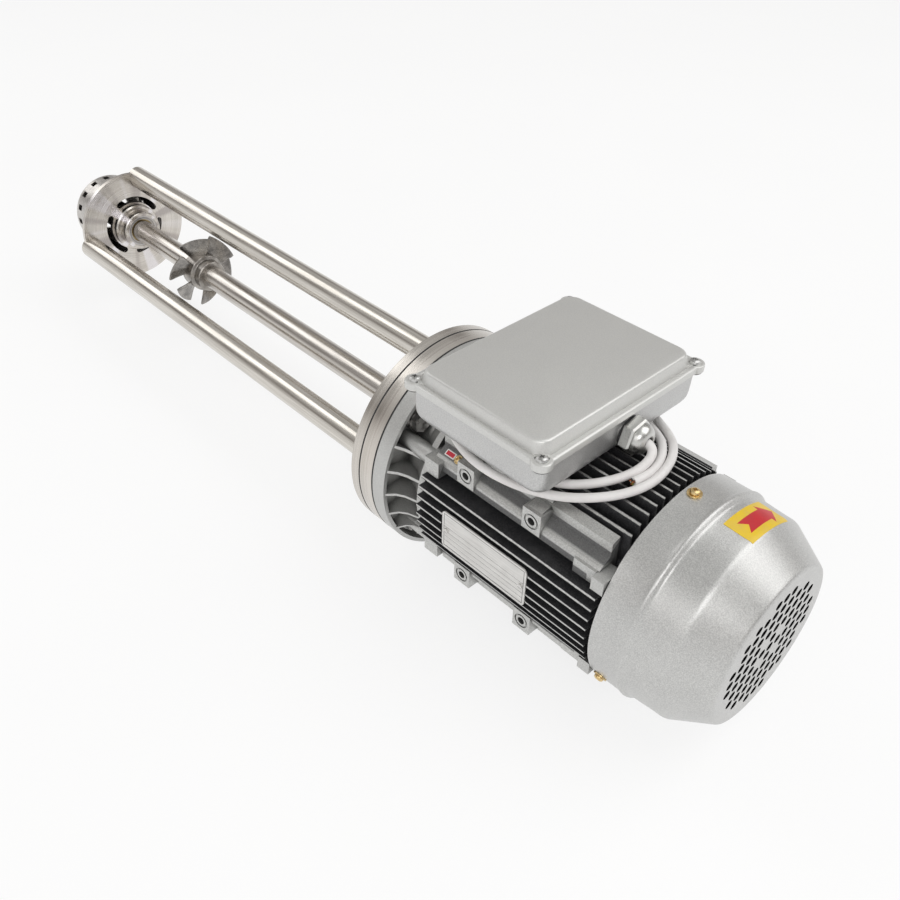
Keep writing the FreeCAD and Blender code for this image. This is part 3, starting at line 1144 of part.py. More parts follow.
# The cable's route: out of the gland, twice round the neck of the terminal box under
# its rim, resting on the fins, and back to a bare cut end beside the gland.
CABLE_ROUTE = [
    (212, 5, 106), (222.5, 5, 106), (228.2, 0.5, 102.5), (229, -9, 98.2), (226.3, -20, 94.8),
    (219.5, -32, 91.2), (207.5, -44.5, 86.8), (191, -55, 82.5), (170, -61, 80.5), (147, -63.5, 80.5),
    (123, -63.5, 80.5), (100, -60, 81), (80, -49.5, 83.8), (66, -32.5, 90), (58.5, -13, 95.5),
    (56, 8, 96), (56, 27, 93.3), (59.5, 43.5, 88), (72, 58, 82), (91.5, 70, 78.8), (115, 76, 78),
    (141, 77.5, 78), (166, 73, 79.5), (188.5, 63, 81.5), (208.5, 49, 86.8), (225, 33.5, 92),
    (236, 15.5, 94.6), (241.4, -3.5, 94.5), (240.8, -20.5, 92.6), (232.5, -36.5, 88.8),
    (217.5, -51, 84), (197.5, -63.5, 79.3), (174, -73, 77.5), (149, -78.5, 77), (123, -78.5, 77),
    (97, -72, 79), (74, -58, 82.5), (57, -40, 90), (49, -21, 99.5), (48.5, -2, 105.5),
    (54.5, 14, 105), (61.5, 27, 99), (66, 38.5, 90), (78, 49, 84), (97, 57, 82), (120, 61.5, 81.5),
    (144, 60.5, 81.5), (167, 56.5, 82), (188, 48.5, 84.5), (206.5, 37.5, 89.8), (219.5, 26, 94.3),
    (229, 12.5, 95), (233.8, -1.5, 94.5), (234.3, -13.5, 93.4), (231.6, -25, 93.6)]


def cable():
    """A tube of straight runs joined by tangent arcs, as large as the runs allow."""
    points = [Vector(*point) for point in CABLE_ROUTE]
    edges = []
    radii = []
    start = points[0]
    for before, corner, after in zip(points, points[1:], points[2:]):
        back = (before - corner)
        ahead = (after - corner)
        trim = 0.45 * min(back.Length, ahead.Length)
        half_turn = (math.pi - back.getAngle(ahead)) / 2
        radius = trim / math.tan(half_turn)
        radii.append(radius)
        first = corner + back.normalize() * trim
        last = corner + ahead.normalize() * trim
        bisector = (back + ahead).normalize()
        centre = corner + bisector * (radius / math.cos(half_turn))
        edges.append(Part.LineSegment(start, first).toShape())
        edges.append(Part.Arc(first, centre - bisector * radius, last).toShape())
        start = last
    edges.append(Part.LineSegment(start, points[-1]).toShape())
    path = Part.Wire(edges)
    direction = points[1] - points[0]
    section = Part.Wire(Part.Circle(points[0], direction, val("cable_radius")).toShape())
    tube = path.makePipeShell([section], True, False, 2)
    solid = doc.addObject("Part::Feature", "power_cable_tube")
    solid.Shape = tube
    solid.Placement = Placement()
    keep(solid, "power_cable")
    expected = math.pi * val("cable_radius") ** 2 * path.Length
    print(f"cable length {path.Length:.1f}, volume ratio {tube.Volume / expected:.4f}")
    print("cable radii", [round(radius) for radius in radii])


flange_stack()
rods()
head_plate()
hub_bush()
stator()
head_rotor()
shafts()
bearings()
impeller()
front_shield()
motor_frame()
rear_shield()
cowl()
cooling_fan()
motor_inside()
terminal_box()
lid()
box_inside()
gland()
nameplate()
cable()

doc.recompute()
failed = [thing.Name for thing in doc.Objects if "Invalid" in thing.State or "Error" in thing.State]
for thing in nodes:
    if thing.Shape.isNull() or not thing.Shape.isValid() or not thing.Shape.Solids:
        failed.append(thing.Label)
if failed:
    raise RuntimeError(f"these did not build: {failed}")

os.makedirs("parts", exist_ok=True)
for thing in nodes:
    thing.Shape.exportStep(f"parts/{thing.Label}.step")
print(f"{len(nodes)} sub-parts written")
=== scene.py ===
import math

import bmesh
import bpy
from mathutils import Matrix, Vector


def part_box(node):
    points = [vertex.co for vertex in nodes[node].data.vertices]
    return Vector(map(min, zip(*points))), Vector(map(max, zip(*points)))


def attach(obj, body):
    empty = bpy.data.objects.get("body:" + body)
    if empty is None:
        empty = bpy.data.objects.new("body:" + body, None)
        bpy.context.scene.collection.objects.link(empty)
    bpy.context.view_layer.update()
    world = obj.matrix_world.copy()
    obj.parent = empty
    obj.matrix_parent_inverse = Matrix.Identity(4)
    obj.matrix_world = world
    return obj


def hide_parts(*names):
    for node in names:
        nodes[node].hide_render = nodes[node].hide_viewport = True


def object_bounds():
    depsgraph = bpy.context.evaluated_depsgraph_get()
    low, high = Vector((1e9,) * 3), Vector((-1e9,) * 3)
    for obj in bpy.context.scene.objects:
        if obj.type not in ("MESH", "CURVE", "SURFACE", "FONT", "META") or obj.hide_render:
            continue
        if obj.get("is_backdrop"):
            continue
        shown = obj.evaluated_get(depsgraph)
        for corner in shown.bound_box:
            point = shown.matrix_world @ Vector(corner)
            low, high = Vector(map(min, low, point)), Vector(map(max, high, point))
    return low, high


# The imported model, with everything in metres and the work head towards -X
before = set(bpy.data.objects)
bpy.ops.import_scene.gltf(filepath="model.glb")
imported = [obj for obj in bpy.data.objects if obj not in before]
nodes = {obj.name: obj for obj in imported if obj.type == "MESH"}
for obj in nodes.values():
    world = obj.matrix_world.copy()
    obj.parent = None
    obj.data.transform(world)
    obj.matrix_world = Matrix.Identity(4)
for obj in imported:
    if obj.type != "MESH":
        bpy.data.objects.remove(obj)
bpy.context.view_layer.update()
MM = 0.001


# The camera, at the photograph's angle, with places in metres and angles in degrees
CAMERA_TARGET = (0.0194, 0.0, -0.01815)
CAMERA_DISTANCE = 0.85622
CAMERA_ANGLES = (45.59, 38.90, 1.44)
SENSOR_WIDTH, FOCAL_LENGTH = 36.0, 36.845


def camera():
    target = Vector(CAMERA_TARGET)
    az, el, roll = (math.radians(angle) for angle in CAMERA_ANGLES)
    back = Vector((math.sin(az) * math.cos(el), -math.cos(az) * math.cos(el), math.sin(el)))
    right = (-back).cross(Vector((0, 0, 1))).normalized()
    up = right.cross(-back)
    across = right * math.cos(roll) + up * math.sin(roll)
    upward = up * math.cos(roll) - right * math.sin(roll)
    data = bpy.data.cameras.new("camera")
    data.sensor_width = SENSOR_WIDTH
    data.lens = FOCAL_LENGTH
    data.clip_start = 0.01
    eye = bpy.data.objects.new("camera", data)
    bpy.context.scene.collection.objects.link(eye)
    turn = Matrix((across, upward, back)).transposed().to_4x4()
    eye.matrix_world = Matrix.Translation(target + back * CAMERA_DISTANCE) @ turn
    bpy.context.scene.camera = eye


camera()


# Small helpers for objects and meshes
ON_AXIS = 1e-7
CORNERS = ((-1, -1), (1, -1), (1, 1), (-1, 1))


def link(name, data, material=None):
    thing = bpy.data.objects.new(name, data)
    bpy.context.scene.collection.objects.link(thing)
    if material:
        data.materials.append(material)
    return thing


def mesh_of(name, bm, material=None, smooth=True):
    data = bpy.data.meshes.new(name)
    bmesh.ops.recalc_face_normals(bm, faces=bm.faces)
    bm.to_mesh(data)
    bm.free()
    for face in data.polygons:
        face.use_smooth = smooth
    return link(name, data, material)


def crease(thing, degrees):
    """Smooth faces that stay sharp where they meet at more than this angle."""
    for face in thing.data.polygons:
        face.use_smooth = True
    thing.data.set_sharp_from_angle(angle=math.radians(degrees))


def in_metres(pairs):
    return [(a * MM, b * MM) for a, b in pairs]


def lathe(bm, profile, matrix, steps=32):
    """A turned form: (radius, height) pairs round the matrix's Z axis."""
    rings = []
    for radius, height in profile:
        if radius < ON_AXIS:
            spots = [(0, 0, height)]
        else:
            turns = [2 * math.pi * i / steps for i in range(steps)]
            spots = [(radius * math.cos(a), radius * math.sin(a), height) for a in turns]
        rings.append([bm.verts.new(matrix @ Vector(spot)) for spot in spots])
    for low, high in zip(rings, rings[1:]):
        for i in range(steps):
            j = (i + 1) % steps
            corners = []
            for ring, picks in ((low, (i, j)), (high, (j, i))):
                for pick in picks:
                    vert = ring[pick] if len(ring) > 1 else ring[0]
                    if vert not in corners:
                        corners.append(vert)
            if len(corners) > 2:
                bm.faces.new(corners)


def facing(axis, spot, turn=0.0):
    """A matrix that stands its Z axis along the given axis at the given spot."""
    lean = Vector(axis).to_track_quat("Z", "Y").to_matrix().to_4x4()
    return Matrix.Translation(spot) @ lean @ Matrix.Rotation(turn, 4, "Z")


ALONG_X = facing((1, 0, 0), (0, 0, 0))


def bar(bm, matrix, size, taper=1.0):
    """A straight bar with its foot at the matrix, narrowed towards its foot by the taper."""
    x, y, z = size
    low = [bm.verts.new(matrix @ Vector((sx * x * taper / 2, sy * y * taper / 2, 0))) for sx, sy in CORNERS]
    high = [bm.verts.new(matrix @ Vector((sx * x / 2, sy * y / 2, z))) for sx, sy in CORNERS]
    bm.faces.new(low[::-1])
    bm.faces.new(high)
    for i in range(4):
        j = (i + 1) % 4
        bm.faces.new((low[i], low[j], high[j], high[i]))


def grid_faces(bm, grid):
    """Faces between neighbouring rows of a grid of vertices."""
    for row, after in zip(grid, grid[1:]):
        for j in range(len(row) - 1):
            bm.faces.new((row[j], after[j], after[j + 1], row[j + 1]))


def carve(thing, cutter_bm):
    """Cuts the closed form in cutter_bm out of a thing."""
    cutter = mesh_of("cutter", cutter_bm, smooth=False)
    step = thing.modifiers.new("carve", "BOOLEAN")
    step.operation = "DIFFERENCE"
    step.solver = "EXACT"
    step.object = cutter
    settle(thing)
    bpy.data.objects.remove(cutter)


def settle(thing):
    """Applies a thing's modifiers."""
    seen = thing.evaluated_get(bpy.context.evaluated_depsgraph_get())
    data = bpy.data.meshes.new_from_object(seen)
    thing.modifiers.clear()
    thing.data = data


# Materials, each built from nodes over the part's own coordinates
class Finish:
    def __init__(self, name):
        self.material = bpy.data.materials.new(name)
        self.material.use_nodes = True
        self.tree = self.material.node_tree
        self.tree.nodes.clear()
        self.out = self.new("ShaderNodeOutputMaterial")
        self.shader = self.new("ShaderNodeBsdfPrincipled")
        self.tree.links.new(self.shader.outputs[0], self.out.inputs[0])
        self.place = self.new("ShaderNodeTexCoord").outputs["Object"]
        self.height = None

    def new(self, kind, **settings):
        node = self.tree.nodes.new(kind)
        for key, value in settings.items():
            setattr(node, key, value)
        return node

    def put(self, socket, value):
        if isinstance(value, bpy.types.NodeSocket):
            self.tree.links.new(value, socket)
        elif isinstance(value, tuple) and len(value) == 3 and len(socket.default_value) == 4:
            socket.default_value = (*value, 1.0)
        else:
            socket.default_value = value

    def math(self, kind, *values, clamp=False):
        node = self.new("ShaderNodeMath", operation=kind, use_clamp=clamp)
        for socket, value in zip(node.inputs, values):
            self.put(socket, value)
        return node.outputs[0]

    def axes(self):
        node = self.new("ShaderNodeSeparateXYZ")
        self.put(node.inputs[0], self.place)
        return node.outputs[0], node.outputs[1], node.outputs[2]

    def join(self, x, y, z):
        node = self.new("ShaderNodeCombineXYZ")
        for socket, value in zip(node.inputs, (x, y, z)):
            self.put(socket, value)
        return node.outputs[0]

    def stretch(self, factors):
        node = self.new("ShaderNodeMapping")
        self.put(node.inputs["Vector"], self.place)
        node.inputs["Scale"].default_value = factors
        return node.outputs[0]

    def noise(self, scale, detail=3.0, rough=0.55, vector=None):
        node = self.new("ShaderNodeTexNoise")
        self.put(node.inputs["Vector"], vector or self.place)
        node.inputs["Scale"].default_value = scale
        node.inputs["Detail"].default_value = detail
        node.inputs["Roughness"].default_value = rough
        return node.outputs["Fac"]

    def lines(self, value, scale, detail=3.0):
        """Fine marks that run at right angles to where the value grows."""
        node = self.new("ShaderNodeTexNoise", noise_dimensions="1D")
        self.put(node.inputs["W"], value)
        node.inputs["Scale"].default_value = scale
        node.inputs["Detail"].default_value = detail
        return node.outputs["Fac"]

    def span(self, value, low, high, to_low=0.0, to_high=1.0):
        node = self.new("ShaderNodeMapRange", interpolation_type="SMOOTHSTEP")
        for socket, number in zip(node.inputs, (value, low, high, to_low, to_high)):
            self.put(socket, number)
        return node.outputs[0]

    def mix(self, share, first, second, **settings):
        node = self.new("ShaderNodeMix", data_type="RGBA", **settings)
        sockets = {socket.identifier: socket for socket in node.inputs}
        self.put(sockets["Factor_Float"], share)
        self.put(sockets["A_Color"], first)
        self.put(sockets["B_Color"], second)
        return {socket.identifier: socket for socket in node.outputs}["Result_Color"]

    def relief(self, height, strength, depth):
        node = self.new("ShaderNodeBump")
        node.inputs["Strength"].default_value = strength
        node.inputs["Distance"].default_value = depth
        self.put(node.inputs["Height"], height)
        if self.height:
            self.tree.links.new(self.height, node.inputs["Normal"])
        self.height = node.outputs[0]

    def radius(self):
        """Distance from the machine's axis."""
        _, y, z = self.axes()
        squares = self.math("ADD", self.math("MULTIPLY", y, y), self.math("MULTIPLY", z, z))
        return self.math("SQRT", squares)

    def painted_hollow_shade(self, colour, reach=0.010, floor=0.30):
        """The colour, with painted shade gathered in corners and recesses."""
        node = self.new("ShaderNodeAmbientOcclusion", samples=6)
        node.inputs["Distance"].default_value = reach
        share = self.span(node.outputs["AO"], 0.25, 0.95, floor, 1.0)
        return self.mix(1.0, colour, self.join(share, share, share), blend_type="MULTIPLY")

    def finish(self, colour, metal, rough):
        self.put(self.shader.inputs["Base Color"], colour)
        self.shader.inputs["Metallic"].default_value = metal
        self.put(self.shader.inputs["Roughness"], rough)
        if self.height:
            self.tree.links.new(self.height, self.shader.inputs["Normal"])
        return self.material


# Just inside the cowl's end face, and the radius of its grille, in metres, which bound the painted shade inside
# the cowl
GRILLE_FACE, GRILLE_RADIUS = 0.35142, 0.0645


def silver_paint(name, light=(0.60, 0.60, 0.585), dark=(0.44, 0.44, 0.43), metal=0.72, rough=0.36,
                 grain=0.22, shade=None):
    """Silver paint with metal flakes over a cast or pressed skin, with painted shade in its corners and recesses
    or painted near-black shade behind its grille.
    """
    f = Finish(name)
    fleck = f.noise(1100, 2, 0.7)
    cloud = f.noise(26, 3, 0.6)
    share = f.math("ADD", f.math("MULTIPLY", f.span(fleck, 0.34, 0.68), 0.7), f.math("MULTIPLY", cloud, 0.45),
                   clamp=True)
    f.relief(f.noise(260, 3), 0.10, 0.0006)
    f.relief(f.noise(1250, 2), grain, 0.00035)
    colour = f.mix(share, dark, light)
    # Painted shade in corners and recesses, taken from ambient occlusion
    if shade == "painted_hollow_shade":
        colour = f.painted_hollow_shade(colour)
    elif shade == "grille":
        # Behind the grille's face and inside its radius the paint turns near-black: painted shade for the inside
        # of the cowl
        behind = f.math("LESS_THAN", f.axes()[0], GRILLE_FACE)
        deep = f.math("MULTIPLY", behind, f.math("LESS_THAN", f.radius(), GRILLE_RADIUS))
        colour = f.mix(deep, colour, (0.012, 0.012, 0.012))
    return f.finish(colour, metal, f.span(fleck, 0.3, 0.7, rough - 0.05, rough + 0.09))


def turned_steel(name, light=(0.70, 0.665, 0.62), dark=(0.55, 0.52, 0.48), rough=0.20, swirl=0.6, painted_ray_scale=0.0):
    """Steel faced and turned in a lathe, with rings round the axis and, on a wide face, soft light and dark
    sectors round the axis: painted highlight and painted shade.
    """
    f = Finish(name)
    x, y, z = f.axes()
    run = f.math("ADD", x, f.radius())
    rings = f.lines(run, 900, 4)
    broad = f.lines(run, 110, 3)
    share = f.math("ADD", f.math("MULTIPLY", rings, 0.6), f.math("MULTIPLY", broad, 0.4))
    stain = f.noise(14, 3, 0.6)
    f.relief(rings, 0.12, 0.0002)
    f.shader.inputs["Anisotropic"].default_value = swirl
    tangent = f.new("ShaderNodeTangent", direction_type="RADIAL", axis="X")
    f.tree.links.new(tangent.outputs[0], f.shader.inputs["Tangent"])
    colour = f.mix(f.span(share, 0.35, 0.65), dark, light)
    # Sectors round the axis: painted shade in the dark ones and painted highlight in the light ones, in place of
    # the glints of a turned face
    if painted_ray_scale:
        reach = f.radius()
        painted_ray_sectors = f.noise(painted_ray_scale, 1, 0.4, f.join(0.0, f.math("DIVIDE", y, reach), f.math("DIVIDE", z, reach)))
        colour = f.mix(f.span(painted_ray_sectors, 0.36, 0.48, 0.75, 0.0), colour, (0.36, 0.33, 0.32))
        colour = f.mix(f.span(painted_ray_sectors, 0.54, 0.64, 0.0, 0.85), colour, (0.84, 0.82, 0.84))
    colour = f.mix(f.span(stain, 0.4, 0.75, 0.0, 0.25), colour, (0.52, 0.45, 0.38))
    return f.finish(colour, 1.0, f.span(broad, 0.3, 0.7, rough, rough + 0.10))


def drawn_steel(name, light=(0.70, 0.67, 0.62), dark=(0.55, 0.52, 0.475), rough=0.16):
    """Ground and polished bar, with faint streaks along it."""
    f = Finish(name)
    streak = f.noise(420, 3, 0.6, f.stretch((0.03, 1.0, 1.0)))
    cloud = f.noise(18, 3)
    f.relief(streak, 0.08, 0.0002)
    f.relief(f.noise(45, 2), 0.05, 0.0008)
    colour = f.mix(f.span(streak, 0.3, 0.7), dark, light)
    return f.finish(colour, 1.0, f.span(cloud, 0.3, 0.7, rough, rough + 0.08))


def cast_steel(name, light=(0.56, 0.53, 0.49), dark=(0.34, 0.32, 0.30), rough=0.27, painted_shade_radius=0.0):
    """Stainless casting polished by hand, a little uneven, with near-black painted shade inside a radius when one
    is given.
    """
    f = Finish(name)
    lumps = f.noise(95, 3)
    scratch = f.noise(700, 4, 0.6, f.stretch((1.0, 0.15, 1.0)))
    f.relief(lumps, 0.16, 0.0012)
    f.relief(scratch, 0.10, 0.0003)
    colour = f.mix(f.span(lumps, 0.3, 0.7), dark, light)
    # Inside this radius the casting is painted near-black: painted shade for the inside of the cup
    if painted_shade_radius:
        outside = f.span(f.radius(), painted_shade_radius, painted_shade_radius + 0.0008)
        colour = f.mix(outside, (0.05, 0.048, 0.046), colour)
    return f.finish(colour, 1.0, f.span(scratch, 0.3, 0.7, rough, rough + 0.12))


def plated(name, light, dark, rough=0.26, patch=160):
    """Small plated hardware with a slightly uneven, handled surface."""
    f = Finish(name)
    spots = f.noise(patch, 3)
    fine = f.noise(1500, 2)
    f.relief(fine, 0.10, 0.0002)
    colour = f.mix(f.span(spots, 0.35, 0.65), dark, light)
    return f.finish(colour, 1.0, f.span(spots, 0.3, 0.7, rough, rough + 0.12))


def soft_plastic(name, light, dark, rough=0.5, grain=700):
    """Rubber, plastic and board, with a fine grain."""
    f = Finish(name)
    fine = f.noise(grain, 3)
    broad = f.noise(40, 3)
    f.relief(fine, 0.12, 0.0003)
    colour = f.mix(f.span(broad, 0.3, 0.7), dark, light)
    return f.finish(colour, 0.0, f.span(fine, 0.3, 0.7, rough - 0.06, rough + 0.08))


# Pitch of the fins, in metres
SIDE_PITCH, UPRIGHT_PITCH = 0.0092, 0.0086

# Edges of the finned frame's regions in metres, each as where its blend starts and where it ends
SIDE_FINS = (0.0365, 0.0370)
FIN_CREST = (0.00055, 0.00085)
FIN_TIP = (0.0884, 0.0892)
RAIL_Y, RAIL_Z = (0.0560, 0.0564), (0.0368, 0.0372)
LUG_Y, LUG_LOW, LUG_HIGH = (0.060, 0.0605), (0.0448, 0.0452), (0.0652, 0.0656)
LUG_MIDDLES, LUG_HALF = (0.1158, 0.1848), (0.0091, 0.0094)
EAR_Y, EAR_LOW, EAR_HIGH = (0.058, 0.0585), (0.036, 0.0365), (0.053, 0.0535)
FRONT_EARS, REAR_EARS = (0.087, 0.0873), (0.2400, 0.2403)


def frame_finish():
    """Finned frame: dark paint between the fins, bare bright tips, silver lugs and ears with painted shade in
    their corners, and grey painted shade on the rails' faces.
    """
    f = Finish("frame_two_tone")
    x, y, z = f.axes()
    ay, az = f.math("ABSOLUTE", y), f.math("ABSOLUTE", z)

    def off(value, middle):
        return f.math("ABSOLUTE", f.math("SUBTRACT", value, middle))

    side = f.math("FRACT", f.math("DIVIDE", f.math("ADD", z, 100 * SIDE_PITCH), SIDE_PITCH))
    upright = f.math("DIVIDE", f.math("ADD", y, 100 * UPRIGHT_PITCH), UPRIGHT_PITCH)
    upright = f.math("FRACT", f.math("ADD", upright, 0.5))
    fins = f.new("ShaderNodeMix", data_type="FLOAT")
    f.put(fins.inputs[0], f.span(az, *SIDE_FINS, 1.0, 0.0))
    f.put(fins.inputs[2], f.math("MULTIPLY", off(upright, 0.5), UPRIGHT_PITCH))
    f.put(fins.inputs[3], f.math("MULTIPLY", off(side, 0.5), SIDE_PITCH))
    ragged = f.math("MULTIPLY", f.math("SUBTRACT", f.noise(240, 3), 0.5), 0.0009)
    crest = f.span(f.math("ADD", fins.outputs[0], ragged), *FIN_CREST, 1.0, 0.0)
    rail = f.math("MULTIPLY", f.span(az, *RAIL_Z), f.span(ay, *RAIL_Y))
    tip = f.math("MULTIPLY", f.span(f.radius(), *FIN_TIP), f.math("MAXIMUM", crest, rail))
    lug = f.math("MULTIPLY", f.span(az, *LUG_LOW), f.span(az, *LUG_HIGH, 1.0, 0.0))
    lug = f.math("MULTIPLY", f.span(ay, *LUG_Y), lug)
    spots = f.math("ADD", *(f.span(off(x, middle), *LUG_HALF, 1.0, 0.0) for middle in LUG_MIDDLES))
    lug = f.math("MULTIPLY", lug, spots)
    ends = f.math("MULTIPLY", f.span(az, *EAR_LOW), f.span(az, *EAR_HIGH, 1.0, 0.0))
    ends = f.math("MULTIPLY", f.span(ay, *EAR_Y), ends)
    ears = f.math("ADD", f.span(x, *FRONT_EARS, 1.0, 0.0), f.span(x, *REAR_EARS))
    bright = f.math("MAXIMUM", tip, f.math("MAXIMUM", lug, f.math("MULTIPLY", ends, ears)), clamp=True)
    fleck = f.noise(1100, 2, 0.7)
    dust = f.noise(60, 4, 0.6)
    black = f.mix(f.span(fleck, 0.35, 0.7), (0.020, 0.020, 0.022), (0.062, 0.062, 0.065))
    black = f.mix(f.span(dust, 0.45, 0.8, 0.0, 0.35), black, (0.12, 0.12, 0.122))
    # Grey on the faces of the silver rails is painted shade, where they lie in shade under the box and lugs
    rail_painted_shade = f.mix(f.span(fleck, 0.3, 0.7), (0.13, 0.13, 0.13), (0.20, 0.20, 0.197))
    black = f.mix(f.math("MULTIPLY", rail, 0.75), black, rail_painted_shade)
    silver = f.mix(f.span(fleck, 0.34, 0.68), (0.46, 0.46, 0.45), (0.64, 0.64, 0.62))
    f.relief(f.noise(240, 3), 0.12, 0.0006)
    f.relief(f.noise(1250, 2), 0.16, 0.0003)
    f.put(f.shader.inputs["Metallic"], f.span(bright, 0.0, 1.0, 0.25, 0.75))
    # The silver lugs, ears and tips get painted shade in their corners and recesses
    f.put(f.shader.inputs["Base Color"], f.mix(bright, black, f.painted_hollow_shade(silver)))
    f.put(f.shader.inputs["Roughness"], f.span(bright, 0.0, 1.0, 0.46, 0.36))
    f.tree.links.new(f.height, f.shader.inputs["Normal"])
    return f.material


# Middle of the nameplate along the machine, the edges of its printed frame and its ruled fields, in metres
PLATE_MIDDLE = 0.1498
FRAME_OUTSIDE = ((0.0438, 0.0440), (0.0173, 0.0175))
FRAME_INSIDE = ((0.0433, 0.0435), (0.0168, 0.0170))
RULE_PITCH, TOP_RULE = 0.0052, (0.0085, 0.0086)


def plate_finish():
    """Blank nameplate of thin aluminium, with a printed frame and empty ruled fields."""
    f = Finish("blank_plate")
    x, _, z = f.axes()
    across = f.math("ABSOLUTE", f.math("SUBTRACT", x, PLATE_MIDDLE))
    high = f.math("ABSOLUTE", z)
    inside, inner = (f.math("MULTIPLY", f.span(across, *wide, 1.0, 0.0), f.span(high, *tall, 1.0, 0.0))
                     for wide, tall in (FRAME_OUTSIDE, FRAME_INSIDE))
    edge = f.math("SUBTRACT", inside, inner)
    rows = f.math("FRACT", f.math("DIVIDE", f.math("ADD", z, 0.1), RULE_PITCH))
    rule = f.math("MULTIPLY", f.span(rows, 0.05, 0.07, 1.0, 0.0), inner)
    rule = f.math("MULTIPLY", rule, f.span(z, *TOP_RULE, 1.0, 0.0))
    ink = f.math("MAXIMUM", edge, rule, clamp=True)
    grain = f.noise(900, 3, 0.6, f.stretch((0.05, 1.0, 1.0)))
    smudge = f.noise(55, 3)
    f.relief(grain, 0.06, 0.0002)
    f.relief(f.noise(120, 2), 0.10, 0.0008)
    bare = f.mix(f.span(grain, 0.3, 0.7), (0.62, 0.61, 0.59), (0.74, 0.73, 0.71))
    bare = f.mix(f.span(smudge, 0.5, 0.8, 0.0, 0.3), bare, (0.50, 0.49, 0.47))
    return f.finish(f.mix(ink, bare, (0.09, 0.09, 0.09)), 0.55, f.span(smudge, 0.3, 0.7, 0.34, 0.46))


steel_flange = turned_steel("turned_steel")
rod_steel = drawn_steel("ground_rod")
shaft_steel = drawn_steel("ground_shaft", (0.66, 0.63, 0.59), (0.48, 0.45, 0.42), 0.18)
head_steel = turned_steel("turned_head", (0.62, 0.61, 0.61), (0.53, 0.52, 0.52), 0.30, 0.9)
# The impeller's hub is a darker copy of the cast steel: painted shade for how dark the impeller looks
impeller_steel_painted_shade = cast_steel("cast_steel", (0.44, 0.415, 0.385), (0.25, 0.235, 0.22))
# The stator cup's steel, with near-black painted shade inside it
cup_steel = cast_steel("cup_steel", (0.64, 0.62, 0.59), (0.50, 0.48, 0.46), 0.24, 0.0425)
ring_steel = cast_steel("ring_steel", (0.60, 0.58, 0.55), (0.48, 0.46, 0.44), 0.24)
# The blades are darker still: painted shade for how dark they look
blade_steel = cast_steel("blade_steel", (0.42, 0.40, 0.375), (0.22, 0.21, 0.20), 0.22)
# The head plate's steel, with painted highlight and painted shade in sectors round its axis
plate_steel = turned_steel("plate_steel", painted_ray_scale=2.1)
# The rotor inside the stator cup is painted very dark: painted shade for the inside of the cup
rotor_painted_shade = cast_steel("rotor_painted_shade", (0.20, 0.19, 0.18), (0.10, 0.095, 0.09), 0.34)
# The cast shields' silver paint, with painted shade in its corners and recesses
casting = silver_paint("silver_casting", shade="painted_hollow_shade")
box_paint = silver_paint("silver_box", (0.64, 0.64, 0.63), (0.42, 0.42, 0.42), 0.74, 0.34, 0.34)
lid_paint = silver_paint("silver_lid", (0.68, 0.68, 0.66), (0.58, 0.58, 0.565), 0.62, 0.38, 0.16)
# The cowl's silver paint, with painted near-black shade inside it behind the grille
cowl_paint = silver_paint("silver_cowl", (0.66, 0.66, 0.645), (0.42, 0.42, 0.415), 0.74, 0.34, 0.30, "grille")
zinc = plated("dark_zinc", (0.55, 0.54, 0.53), (0.32, 0.31, 0.30), 0.26)
bright_zinc = plated("bright_zinc", (0.70, 0.70, 0.69), (0.45, 0.45, 0.44), 0.24)
brass = plated("yellow_brass", (0.74, 0.57, 0.30), (0.60, 0.43, 0.19), 0.22, 300)
nickel = plated("nickel_gland", (0.64, 0.64, 0.62), (0.57, 0.57, 0.55), 0.25, 120)
gasket = soft_plastic("gasket_sheet", (0.030, 0.030, 0.030), (0.014, 0.014, 0.014), 0.7)
rubber = soft_plastic("black_rubber", (0.030, 0.030, 0.032), (0.015, 0.015, 0.016), 0.5)
white_pvc = soft_plastic("white_sheath", (0.80, 0.785, 0.775), (0.72, 0.70, 0.69), 0.42, 300)
fan_plastic = soft_plastic("fan_plastic", (0.016, 0.016, 0.017), (0.009, 0.009, 0.010), 0.5)
board = soft_plastic("terminal_moulding", (0.30, 0.09, 0.05), (0.20, 0.055, 0.03), 0.4)
shell = soft_plastic("capacitor_shell", (0.09, 0.09, 0.10), (0.05, 0.05, 0.055), 0.35)
bronze = plated("bearing_bronze", (0.50, 0.40, 0.22), (0.32, 0.24, 0.12), 0.3)
lamination = plated("lamination_steel", (0.30, 0.30, 0.31), (0.16, 0.16, 0.165), 0.4, 300)
winding = plated("enamelled_copper", (0.55, 0.22, 0.10), (0.30, 0.10, 0.05), 0.35, 300)
plate_metal = plate_finish()
two_tone = frame_finish()

SLOTS = {
    "steel_flange": steel_flange, "rod_steel": rod_steel, "head_steel": head_steel, "gasket": gasket,
    "seal_rubber": rubber, "bush": bronze, "cast_aluminium": casting, "frame_metal": two_tone,
    "lid_metal": lid_paint, "cowl_paint": cowl_paint, "zinc_steel": zinc, "screw_brass": brass,
    "gland_metal": nickel, "cable_sheath": white_pvc, "plate_metal": plate_metal,
    "shaft_steel": shaft_steel, "bearing_steel": bright_zinc, "lamination": lamination,
    "winding": winding, "fan_plastic": fan_plastic, "board_plastic": board, "capacitor_shell": shell,
}

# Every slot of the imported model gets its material, and four nodes get one of their own
for node in nodes.values():
    for slot in node.material_slots:
        slot.material = SLOTS.get(slot.material.name.split(".")[0], casting)
for name, material in (("stator_cup", cup_steel), ("stator_end_ring", ring_steel), ("head_rotor", rotor_painted_shade),
                       ("head_plate", plate_steel)):
    nodes[name].material_slots[0].material = material


